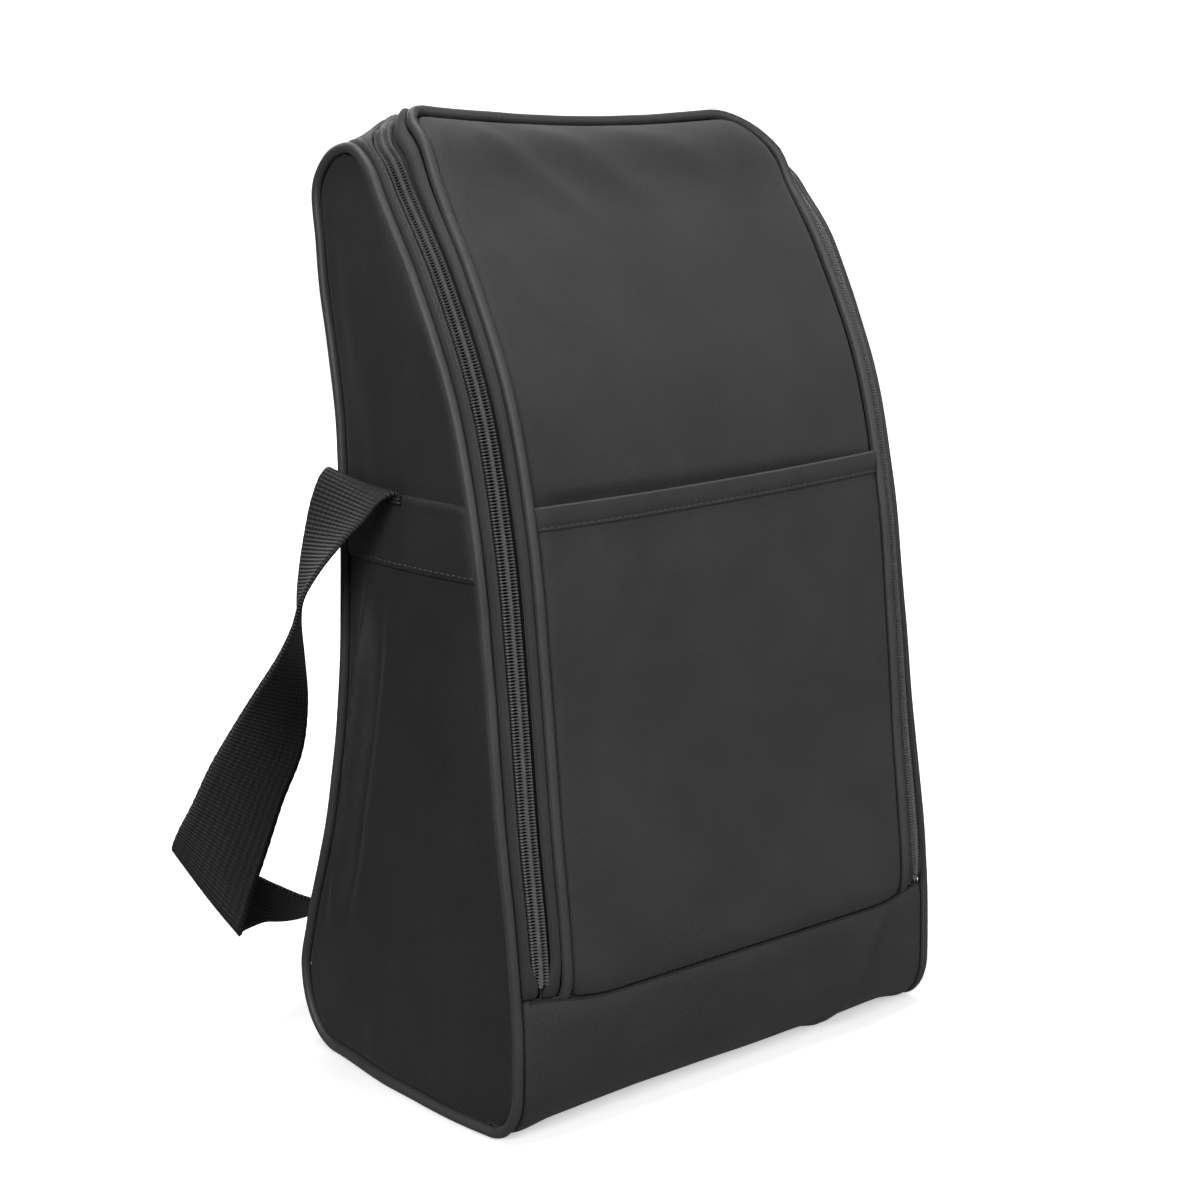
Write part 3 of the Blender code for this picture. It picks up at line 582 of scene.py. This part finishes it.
def side_relief(sign, y, z, start, end):
    """How far the side's cloth stands out of its plane: seams, folds and slack."""
    near = np.minimum(np.minimum(y - start, end - y), np.minimum(z - 0.004, 0.3485 - z))
    near = np.maximum(near, 0)
    out = -0.0022 * edge_dip(near, 0.0017) + 0.0016 * smooth(near / 0.03)
    fold = end - 0.0135 + 0.0045 * np.sin((z - 0.05) * 26)
    span = smooth((z - 0.045) / 0.04) * smooth((0.205 - z) / 0.05)
    out += 0.0042 * span * hump(y - fold, 0.0028)
    out -= 0.0032 * span * hump(y - fold + 0.0080, 0.0044)
    upper = smooth((z - 0.235) / 0.03) * smooth((0.345 - z) / 0.04)
    ridge = start + (end - start) * 0.72
    out += 0.0012 * upper * hump(y - ridge, 0.009)
    points = np.stack([np.full_like(y, sign * 0.11), y, z * 0.45], -1)
    out += 0.0011 * noise_at(points, 0.030, 7.3) * smooth(near / 0.012)
    out += 0.00035 * noise_at(points, 0.009, 2.1) * smooth(near / 0.012)
    return out


def make_side(side, sign):
    """One gusset: its padded panel, cross strip with thread, piping and lining."""
    heights, start, end = side_rows(2 * PIPING_RADIUS - 0.0006)
    shares = np.linspace(0, 1, 74)
    shares = 0.5 + 0.5 * np.sign(2 * shares - 1) * (1 - (1 - abs(2 * shares - 1)) ** 1.25)
    y = start[:, None] + (end - start)[:, None] * shares[None]
    z = np.repeat(heights[:, None], len(shares), axis=1)
    relief = side_relief(sign, y, z, start[:, None], end[:, None])
    relief -= 0.0009 * hump(z - STRIP_TOP - 0.0006, 0.0011)
    face = HALF_WIDTH - 0.0016
    points = lean(np.stack([sign * (face + relief), y, z], -1))
    uv = np.stack([y, z], -1)
    if sign < 0:
        points, uv = points[:, ::-1], uv[:, ::-1]
    panel = grid(f"side_cloth_{side}", points, MATERIALS["side"], CLOTH, uv)
    on_bag(panel, "cloth", f"side_panel_{side}", f"side_foam_{side}")

    # the cross strip, a band of cloth over the panel, from the seam down to a stitched fold
    z_strip = np.linspace(STRIP_BOTTOM, STRIP_TOP, 26)
    ys, ye = np.interp(z_strip, heights, start), np.interp(z_strip, heights, end)
    y = ys[:, None] + (ye - ys)[:, None] * shares[None]
    z = np.repeat(z_strip[:, None], len(shares), axis=1)
    relief = side_relief(sign, y, z, ys[:, None], ye[:, None])
    edge = np.minimum(z - STRIP_BOTTOM, STRIP_TOP - z)
    relief += 0.0011 - 0.0007 * edge_dip(edge, 0.0007) + 0.0004 * hump(STRIP_TOP - z - 0.0022, 0.0014)
    points = lean(np.stack([sign * (face + relief), y, z], -1))
    strip = grid(f"cross_cloth_{side}", points if sign > 0 else points[:, ::-1], MATERIALS["side"], 0.0008)
    on_bag(strip, "cloth", f"cross_strip_{side}")
    line = np.argmin(abs(z_strip - STRIP_BOTTOM - 0.0022))
    path = points[line, 2:-2]
    thread = stitches(f"cross_thread_{side}", path, np.tile((sign, 0, 0), (len(path), 1)).astype(float))
    on_bag(thread, "cloth")

    v = np.linspace(0, ROUND, 420, endpoint=False)
    y, z = side_yz(v, PIPING_RADIUS)
    ring = np.stack([np.full_like(y, sign * (HALF_WIDTH - PIPING_RADIUS)), y, z], -1)
    wobble = 0.00025 * noise_at(ring, 0.02, 4.4)
    ring[:, 0] += sign * (wobble - 0.0001)
    piping = tube(f"piping_{side}", lean(ring), PIPING_RADIUS * 0.99, MATERIALS["piping"], closed=True)
    on_bag(piping, "piping", f"side_piping_{side}")

    heights, start, end = side_rows(0.0075, 60)
    y = start[:, None] + (end - start)[:, None] * np.linspace(0, 1, 30)[None]
    z = np.repeat(heights[:, None], 30, axis=1)
    inner = HALF_WIDTH - 0.0066 + 0.0004 * noise_at(np.stack([y * 0 + 1, y, z], -1), 0.03)
    points = lean(np.stack([sign * inner, y, z], -1))
    lining = grid(f"side_liner_{side}", points[:, ::-1] if sign > 0 else points, MATERIALS["lining"], LINING)
    on_bag(lining, "lining", f"side_lining_{side}")


# ------------------------ the zip and its bands
def arch(offset, leg=150, bend=12, top=70):
    """The U that runs up, over and down the door, offset outside its piping, as arrays u and v."""
    left_r, right_r = CORNER_RADII
    left_u, right_u = -(DOOR_HALF - left_r), DOOR_HALF - right_r
    u, v = [], []
    heights = np.linspace(V_SEAM, V_TOP - left_r, leg, endpoint=False)
    u += [left_u - left_r - offset] * leg
    v += list(heights)
    for a in np.radians(np.linspace(0, 90, bend, endpoint=False)):
        u.append(left_u - (left_r + offset) * math.cos(a))
        v.append(V_TOP - left_r + (left_r + offset) * math.sin(a))
    u += list(np.linspace(left_u, right_u, top, endpoint=False))
    v += [V_TOP + offset] * top
    for a in np.radians(np.linspace(90, 0, bend, endpoint=False)):
        u.append(right_u + (right_r + offset) * math.cos(a))
        v.append(V_TOP - right_r + (right_r + offset) * math.sin(a))
    u += [right_u + right_r + offset] * leg
    v += list(np.linspace(V_TOP - right_r, V_SEAM, leg))
    return np.array(u), np.array(v)


def square_arch(leg=150, bend=12, top=70):
    """The outer edge of the outer band, with square corners at the back panel's seam."""
    left_r, right_r = CORNER_RADII
    left_u, right_u = -(DOOR_HALF - left_r), DOOR_HALF - right_r
    u, v = [], []
    u += [-EDGE] * leg
    v += list(np.linspace(V_SEAM, V_TOP - left_r, leg, endpoint=False))
    for centre_u, r, angles in ((left_u, left_r, np.linspace(0, 90, bend, endpoint=False)),
                                (right_u, right_r, np.linspace(90, 0, bend, endpoint=False))):
        if centre_u > 0:
            u += list(np.linspace(left_u, right_u, top, endpoint=False))
            v += [V_BACK] * top
        for a in np.radians(angles):
            reach = min((EDGE - abs(centre_u)) / max(math.cos(a), 1e-6),
                        (V_BACK - V_TOP + r) / max(math.sin(a), 1e-6))
            u.append(centre_u + math.copysign(reach * math.cos(a), centre_u))
            v.append(V_TOP - r + reach * math.sin(a))
    u += [EDGE] * leg
    v += list(np.linspace(V_TOP - right_r, V_SEAM, leg))
    return np.array(u), np.array(v)


def band(name, inner, outer, profile, material, thickness):
    """A strip of cloth between two arches. profile lists (share across, height)."""
    shares = np.array([p[0] for p in profile])[None]
    heights = np.array([p[1] for p in profile])[None]
    u = inner[0][:, None] * (1 - shares) + outer[0][:, None] * shares
    v = inner[1][:, None] * (1 - shares) + outer[1][:, None] * shares
    return grid(name, wrap(u, v, heights - foot_tuck(v))[:, ::-1], material, thickness)


def closing(path, way):
    """The bands close in over the zip's ends, just above the bottom seam."""
    u, v = path
    return u + way * 0.0030 * np.sign(u) * smooth((V_SEAM + 0.017 - v) / 0.014), v


def foot_tuck(v):
    """Everything sewn into the bottom seam dips under the front band there."""
    return 0.0034 * edge_dip(np.maximum(v - V_SEAM, 0), 0.0028)


def mixed(inner, outer, share):
    """The path a share of the way from one arch to another."""
    return tuple(a * (1 - share) + b * share for a, b in zip(inner, outer))


def line_on(path, out):
    """Points along a path, out from the wrap surface, and their outward normals."""
    u, v = path
    return wrap(u, v, out - foot_tuck(v)), surface_normals(u, v, out)


def make_zip():
    """The outer and inner bands, the two tapes and the two rows of the coil between them."""
    # the outer band folds over at the zip and tucks in at the side's piping
    inner, outer = closing(arch(ZIP_MIDDLE + 0.0042), -1), square_arch()
    profile = [(0.0, -0.0010), (0.03, 0.0001), (0.09, 0.0007), (0.3, 0.0008), (0.44, 0.0006), (0.50, 0.0003),
               (0.56, 0.0006), (0.72, 0.0007), (0.84, 0.0003), (0.93, -0.0007), (1.0, -0.0022)]
    piece = band("outer_band_cloth", inner, outer, profile, MATERIALS["cloth"], THIN_CLOTH)
    on_bag(piece, "cloth", "outer_band")
    points, normals = line_on(mixed(inner, outer, 0.50), 0.0002)
    on_bag(stitches("outer_band_thread", points, normals), "cloth")

    inner, outer = arch(0.0009), closing(arch(ZIP_MIDDLE - 0.0038), 1)
    profile = [(0.0, -0.0020), (0.12, -0.0016), (0.24, -0.0004), (0.34, 0.0003), (0.55, 0.0007), (0.80, 0.0007),
               (0.93, 0.0004), (0.98, -0.0001), (1.0, -0.0008)]
    piece = band("inner_band_cloth", inner, outer, profile, MATERIALS["cloth"], THIN_CLOTH)
    on_door(piece, "cloth", "inner_band")

    flat = [(0.0, -TAPE_SINK), (0.5, 0.0001 - TAPE_SINK), (1.0, -TAPE_SINK)]
    edges = [arch(ZIP_MIDDLE + across) for across in (-0.0062, -0.0004, 0.0004, 0.0062)]
    on_bag(band("tape_body", *edges[2:], flat, MATERIALS["tape"], TAPE), "tape", "zip_tape_body")
    on_door(band("tape_door", *edges[:2], flat, MATERIALS["tape"], TAPE), "tape", "zip_tape_door")

    # one tooth: a loop of the coil, with a bead at its outer turn and a raised head in the middle
    points, normals = line_on(arch(ZIP_MIDDLE), -0.0017)
    pitch = 0.00115
    for half, sign, fit in (("body", 1, on_bag), ("door", -1, on_door)):
        sections = []
        for across, low, high, width in ((-0.0006, 0.0006, 0.0021, 0.28), (-0.0001, 0.0002, 0.0029, 0.46),
                                         (0.0005, 0.0002, 0.0026, 0.40), (0.0011, 0.0, 0.0016, 0.26),
                                         (0.0019, 0.0, 0.0015, 0.26), (0.0024, -0.0002, 0.0023, 0.40),
                                         (0.0029, -0.0002, 0.0021, 0.42), (0.0033, -0.0004, 0.0008, 0.30)):
            w = width * pitch
            middle = (low + high) / 2
            sections.append((across, [(-w, middle), (-0.7 * w, high - 0.0003), (0, high),
                                      (0.7 * w, high - 0.0003), (w, middle), (0, low)]))
        shape, faces = ring_shape(sections)
        shape = [(a, sign * c, o) for c, a, o in shape]
        if sign > 0:
            faces = [face[::-1] for face in faces]
        places = frames_along(points, normals, pitch, start=0.006 + (0.0 if sign > 0 else pitch / 2))
        teeth = repeat_shape(f"coil_{half}", shape, faces, places, MATERIALS["coil"])
        fit(teeth, "zip_coil", f"zip_coil_{half}")
    u, v = arch(ZIP_MIDDLE)
    for side, part in (("left", slice(0, 6)), ("right", slice(-6, None))):
        ridge = tube(f"coil_end_{side}", wrap(u[part], v[part], -0.0016), 0.0005, MATERIALS["tape"])
        on_bag(ridge, "zip_coil")


# ------------------------ the door
def door_half(v, margin, side):
    """Half the width of a panel inside the door's piping at v, on the left (0) or right (1)."""
    r = CORNER_RADII[side]
    past = np.clip(v - (V_TOP - r), 0, max(r - margin, 0.0))
    return DOOR_HALF - r + np.sqrt(np.maximum((r - margin) ** 2 - past ** 2, 0))


def door_grid(bottom, top, margin, rows, columns):
    """Arrays u and v over the door inside its piping, closer together near the edges."""
    v = bottom + (top - bottom) * np.linspace(0, 1, rows)
    shares = crowded(columns)
    left, right = door_half(v, margin, 0)[:, None], door_half(v, margin, 1)[:, None]
    u = np.where(shares[None] < 0, shares[None] * left, shares[None] * right)
    return u, np.repeat(v[:, None], columns, axis=1)


# gentle pulls in the door's cloth: where each starts, its slant, length, width and height
DOOR_FOLDS = [(-0.070, -0.006, 0.75, 0.075, 0.0060, 0.0018), (-0.045, -0.004, 0.60, 0.080, 0.0075, 0.0017),
              (-0.005, -0.004, 0.45, 0.075, 0.0070, 0.0014), (-0.078, -0.050, 1.15, 0.060, 0.0060, 0.0009)]


def from_door_edge(u, v, margin, top):
    """Distances from the nearest edge of a panel inside the door's piping."""
    near = np.minimum(np.minimum(door_half(v, margin, 0) + u, door_half(v, margin, 1) - u), top - v)
    return np.maximum(near, 0)


def door_relief(u, v, margin, top):
    """How far the door's cloth stands out: seams, slack, folds and the hollow behind the pocket."""
    near = from_door_edge(u, v, margin, top)
    points = np.stack([u, v * 0, v], -1)
    out = -0.0034 * edge_dip(near, 0.0019) - 0.0002 + 0.0008 * smooth(near / 0.05)
    slack = smooth(near / 0.015)
    out += slack * 0.0012 * noise_at(points * (1, 1, 0.5), 0.050, 3.1)
    for u_start, v_start, slant, length, width, height in DOOR_FOLDS:
        along = (u - u_start) * math.cos(slant) + (v_start - (v - V_TOP)) * math.sin(slant)
        across = (u - u_start) * math.sin(slant) - (v_start - (v - V_TOP)) * math.cos(slant)
        reach = smooth(along / 0.012) * smooth((length - along) / (0.5 * length))
        out += height * slack * reach * hump(across, width)
    out -= 0.0012 * smooth((V_POCKET + 0.006 - v) / 0.012)
    mouth = smooth((V_POCKET + 0.0030 - v) / 0.006) * smooth((v - V_POCKET + 0.045) / 0.030)
    out -= 0.0022 * mouth * smooth((0.0885 - abs(u)) / 0.016)
    return out - 0.0026 * edge_dip(v - V_SEAM, 0.003)


def make_door():
    """The padded door panel, its lining, its piping and the slip pocket on it."""
    foot, top = V_SEAM + 0.0006, V_TOP - SEAM_GAP
    u, v = door_grid(foot, top, SEAM_GAP, 190, 96)
    surface = wrap(u, v, door_relief(u, v, SEAM_GAP, top))
    panel = grid("door_cloth", surface, MATERIALS["cloth"], CLOTH, np.stack([u, v], -1))
    on_door(panel, "cloth", "door_panel", "door_foam")

    # the lining reaches out over the piping's seam and curls towards the zip tape
    margin = -0.0030
    top = V_TOP - margin
    u, v = door_grid(foot, top, margin, 70, 40)
    curl = 0.0030 * edge_dip(from_door_edge(u, v, margin, top), 0.0025)
    inner = wrap(u, v, -0.0064 + curl + 0.0006 * noise_at(np.stack([u, v, v * 0], -1), 0.035))
    lining = grid("door_liner", inner[:, ::-1], MATERIALS["lining"], LINING)
    on_door(lining, "lining", "door_lining")

    points, normals = line_on(arch(0.0), -0.0002)
    points = points + normals * (0.0002 * noise_at(points, 0.02, 5.0))[:, None]
    on_door(tube("door_piping_cloth", points, PIPING_RADIUS, MATERIALS["piping"]), "piping", "door_piping")
    make_pocket()


def pocket_edge(u):
    """The v of the pocket's mouth, a little slack between its ends."""
    return V_POCKET + 0.0020 * u / DOOR_HALF - 0.0012 * (1 - (u / DOOR_HALF) ** 2)


def make_pocket():
    """The slip pocket, its turned hem and the hem's stitches."""
    half = DOOR_HALF - SEAM_GAP
    u = half * crowded(90)
    near_side = np.maximum(half - abs(u), 0)[None]

    def relief(u, v, extra):
        out = 0.0015 - 0.0040 * edge_dip(near_side, 0.0022) - 0.0034 * edge_dip(v - V_SEAM, 0.0026)
        points = np.stack([u, v * 0, v], -1)
        slack = smooth(near_side / 0.02) * smooth((v - V_SEAM) / 0.03)
        out = out + slack * (0.0013 * noise_at(points * (1, 1, 0.45), 0.045, 9.7)
                             + 0.0004 * noise_at(points, 0.014, 1.7))
        crease = hump(u + 0.052 - (v - V_POCKET + 0.05) * 0.55, 0.006)
        out -= 0.0007 * slack * crease * hump(v - V_POCKET + 0.055, 0.03)
        out += 0.0018 * slack * hump(u + 0.054, 0.015)
        return out + extra

    share = np.linspace(0, 1, 130)[:, None]
    mouth = pocket_edge(u)[None]
    v = V_SEAM + 0.0004 + (mouth - HEM_HEIGHT + 0.0006 - V_SEAM) * share
    uu = np.repeat(u[None], len(share), axis=0)
    body = grid("pocket_cloth", wrap(uu, v, relief(uu, v, 0.0)), MATERIALS["pocket"], THIN_CLOTH,
                np.stack([uu, v], -1))
    on_door(body, "pocket_cloth", "pocket_panel")

    # the hem: the cloth turned over at the mouth and stitched down along its lower edge
    places = [(0.0, -0.0002), (0.04, 0.0006), (0.1, 0.0010), (0.17, 0.0007), (0.25, 0.0012), (0.5, 0.0015),
              (0.8, 0.0017), (0.93, 0.0016), (0.98, 0.0010), (1.0, -0.0002)]
    share = np.array([p[0] for p in places])[:, None]
    extra = np.array([p[1] for p in places])[:, None]
    v = mouth - HEM_HEIGHT + HEM_HEIGHT * share
    uu = np.repeat(u[None], len(places), axis=0)
    hem = grid("pocket_hem_cloth", wrap(uu, v, relief(uu, v, extra)), MATERIALS["pocket"], CLOTH,
               np.stack([uu, v], -1))
    on_door(hem, "pocket_cloth", "pocket_hem")
    v = mouth - HEM_HEIGHT * 0.83
    line = wrap(u, v[0], relief(u[None], v, 0.0008)[0])[3:-3]
    normals = surface_normals(u, v[0], 0.0)[3:-3]
    on_door(stitches("hem_thread", line, normals), "pocket_cloth")


# ------------------------ back, base and front band
def make_shell():
    """The back, the front band, the base, and the linings inside them."""
    u = (EDGE + 0.0006) * crowded(84)
    near = np.maximum(EDGE - abs(u), 0)[None]

    def panel(name, start, end, rows, material, thickness, folds, slot, nodes, tuck=0.0012):
        v = np.linspace(start, end, rows)[:, None]
        uu = np.repeat(u[None], rows, axis=0)
        vv = np.repeat(v, len(u), axis=1)
        ends = np.minimum(vv - start, end - vv)
        out = -0.0028 * edge_dip(near, 0.0016) - tuck * edge_dip(ends, 0.0018) + folds(uu, vv, near, ends)
        piece = grid(name, wrap(uu, vv, out), material, thickness, np.stack([uu, vv], -1))
        on_bag(piece, slot, *nodes)
        return piece

    def back_folds(uu, vv, side, ends):
        points = np.stack([uu, vv * 0, vv * 0.6], -1)
        slack = smooth(side / 0.015) * smooth(ends / 0.015)
        return slack * (0.0015 * noise_at(points, 0.045, 6.1) + 0.0004 * noise_at(points, 0.013, 8.8))

    back = panel("back_cloth", V_BACK + 0.0003, V_REAR, 170, MATERIALS["cloth"], CLOTH, back_folds, "cloth",
                 ("back_panel", "back_foam"))

    def band_folds(uu, vv, side, ends):
        points = np.stack([uu, vv * 0, vv], -1)
        slack = smooth(side / 0.012) * smooth(ends / 0.010)
        crease = hump(uu - 0.073 + 0.4 * (ROUND + V_SEAM - vv), 0.0045)
        return slack * (0.0010 * noise_at(points * (1, 1, 0.7), 0.035, 2.9) + 0.0014 * crease)

    front = panel("front_band_cloth", V_FRONT, ROUND + V_SEAM + 0.0004, 70, MATERIALS["cloth"], CLOTH,
                  band_folds, "cloth", ("front_band",), tuck=0.0030)

    def base_folds(uu, vv, side, ends):
        return 0.0006 * edge_dip(ends, 0.0022)

    base = panel("base_cloth", V_REAR + 0.0003, V_FRONT - 0.0003, 80, MATERIALS["side"], 0.0011, base_folds,
                 "cloth", ("base_panel",))

    half = HALF_WIDTH - 0.0072
    uu = np.repeat(np.linspace(-half, half, 40)[None], 110, axis=0)
    vv = np.repeat(np.linspace(V_BACK + 0.003, V_REAR - 0.003, 110)[:, None], 40, axis=1)
    inner = wrap(uu, vv, -0.0048 + 0.0008 * noise_at(np.stack([uu, vv, vv * 0], -1), 0.04))
    lining = grid("back_liner", inner[:, ::-1], MATERIALS["lining"], LINING)
    on_bag(lining, "lining", "back_lining")
    vv = np.repeat(ROUND + np.linspace(V_SEAM - 0.013, V_SEAM, 8)[:, None], 40, axis=1)
    tape = grid("seam_binding", wrap(uu[:8], vv, -0.0021)[:, ::-1], MATERIALS["tape"], TAPE)
    on_bag(tape, "tape", "seam_tape")
    low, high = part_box("base_board")
    rear, fore = high[1] + 0.004, low[1] - 0.008
    y = np.linspace(fore, rear, 46)
    rise = 0.0066 * (smooth((fore + 0.010 - y) / 0.012) + smooth((y - rear + 0.010) / 0.012))
    x = np.linspace(-half, half, 60)
    flat = np.stack(np.broadcast_arrays(x[None], y[:, None], 0.0), -1)
    z = 0.0052 + rise[:, None] + 0.0004 * noise_at(flat, 0.03)
    points = np.stack(np.broadcast_arrays(x[None], y[:, None], z), -1)
    liner = grid("base_liner", points, MATERIALS["lining"], LINING)
    on_bag(liner, "lining", "base_lining", "base_board")


# ------------------------ strap
# the left half of the strap: the middle of its width, and from there to its edge
STRAP_ROUTE = [
    ((-0.1108, 0.015, 0.2262), (0, 0.019, 0)),
    ((-0.1112, 0.015, 0.2298), (0, 0.019, 0.0003)),
    ((-0.1126, 0.0152, 0.2322), (-0.0002, 0.0189, 0.0014)),
    ((-0.1152, 0.0158, 0.2334), (-0.0002, 0.0188, 0.0026)),
    ((-0.119, 0.0172, 0.2308), (0.0006, 0.0188, 0.0026)),
    ((-0.123, 0.0195, 0.2232), (0.0018, 0.019, 0.001)),
    ((-0.1265, 0.0235, 0.213), (0.004, 0.0184, -0.002)),
    ((-0.1297, 0.0292, 0.2), (0.0072, 0.017, -0.0036)),
    ((-0.1302, 0.0355, 0.1875), (0.0096, 0.0157, -0.0042)),
    ((-0.1282, 0.0412, 0.1752), (0.0112, 0.0146, -0.0048)),
    ((-0.127, 0.047, 0.163), (0.0134, 0.0123, -0.0052)),
    ((-0.1278, 0.053, 0.147), (0.016, 0.0076, -0.0064)),
    ((-0.1308, 0.059, 0.1295), (0.0168, 0.0026, -0.008)),
    ((-0.1368, 0.0645, 0.1125), (0.0158, 0.0002, -0.01)),
    ((-0.142, 0.0695, 0.0945), (0.0152, -0.0018, -0.0115)),
    ((-0.146, 0.074, 0.08), (0.0134, -0.0038, -0.015)),
    ((-0.147, 0.0772, 0.0705), (0.0112, -0.0056, -0.0178)),
    ((-0.1452, 0.08, 0.0668), (0.0106, -0.0056, -0.0182)),
    ((-0.14, 0.083, 0.0652), (0.0094, -0.003, -0.018)),
    ((-0.13, 0.087, 0.061), (0.0098, 0.003, -0.0172)),
    ((-0.118, 0.0912, 0.0555), (0.0095, 0.0075, -0.0148)),
    ((-0.104, 0.095, 0.048), (0.0085, 0.0115, -0.0122)),
    ((-0.088, 0.0985, 0.041), (0.006, 0.015, -0.009)),
    ((-0.06, 0.1015, 0.037), (0.002, 0.0178, -0.0062)),
    ((0, 0.103, 0.0355), (0, 0.0182, -0.0055))]


def smooth_route(rows, step):
    """Even steps along a smooth curve through rows of numbers; the first three are the place."""
    lengths = np.sqrt(np.linalg.norm(np.diff(rows[:, :3], axis=0), axis=1))
    knots = np.concatenate([[0], np.cumsum(lengths)])
    slopes = np.gradient(rows, knots, axis=0)
    dense = []
    for i in range(len(rows) - 1):
        h = knots[i + 1] - knots[i]
        for t in np.linspace(0, 1, 16, endpoint=False):
            dense.append((2 * t**3 - 3 * t**2 + 1) * rows[i] + (t**3 - 2 * t**2 + t) * h * slopes[i]
                         + (3 * t**2 - 2 * t**3) * rows[i + 1] + (t**3 - t**2) * h * slopes[i + 1])
    dense = np.array(dense + [rows[-1]])
    run = np.concatenate([[0], np.cumsum(np.linalg.norm(np.diff(dense[:, :3], axis=0), axis=1))])
    at = np.linspace(0, run[-1], int(run[-1] / step) + 1)
    return np.stack([np.interp(at, run, dense[:, k]) for k in range(rows.shape[1])], -1), at


def make_strap():
    """The webbing, half a route and its mirror image, and its two sewn ends."""
    half = np.array([(*middle, *reach) for middle, reach in STRAP_ROUTE])
    rows, run = smooth_route(np.vstack([half, half[-2::-1] * (-1, 1, 1, -1, 1, 1)]), 0.0016)
    middle, reach = rows[:, :3], rows[:, 3:]
    shares = np.linspace(-1, 1, 15)
    bow = 0.0006 * (1 - shares ** 2)
    along = np.gradient(middle, axis=0)
    face = np.cross(along, reach)
    face /= np.linalg.norm(face, axis=1)[:, None]
    scallop = 1 + 0.006 * np.sin(run * 2 * math.pi / 0.0026)
    points = lean(middle[:, None] + shares[None, :, None] * (reach * scallop[:, None])[:, None]
                  + bow[None, :, None] * face[:, None])
    uv = np.stack(np.broadcast_arrays(shares[None] * STRAP_WIDTH / 2, run[:, None]), -1)
    strap = grid("strap_webbing", points, MATERIALS["webbing"], STRAP_THICKNESS, uv)
    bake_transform(strap)
    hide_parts("carry_strap")
    for side, sign in (("left", -1), ("right", 1)):
        low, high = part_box(f"strap_end_{side}")
        y = np.linspace(low[1], high[1], 16)
        z = np.linspace(low[2] + 0.001, high[2] + 0.0005, 12)
        x = sign * (HALF_WIDTH - 0.0022)
        points = lean(np.stack(np.broadcast_arrays(x, y[None], z[:, None]), -1))
        end = grid(f"strap_root_{side}", points if sign > 0 else points[:, ::-1], MATERIALS["webbing"], 0.0012)
        on_bag(end, "webbing", f"strap_end_{side}")


# ------------------------ zip sliders
def dress_sliders():
    """The CAD sliders and pulls keep their shape, with their edges rounded."""
    for name in ("zip_slider_left", "zip_slider_right", "pull_tab_left", "pull_tab_right"):
        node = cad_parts[name]
        edge = node.modifiers.new("edge", "BEVEL")
        edge.width = 0.00022
        edge.segments = 2
        node.data.materials.clear()
        node.data.materials.append(MATERIALS["metal"])


make_stage()
for side_name, side_sign in (("left", -1), ("right", 1)):
    make_side(side_name, side_sign)
make_zip()
make_door()
make_shell()
make_strap()
dress_sliders()
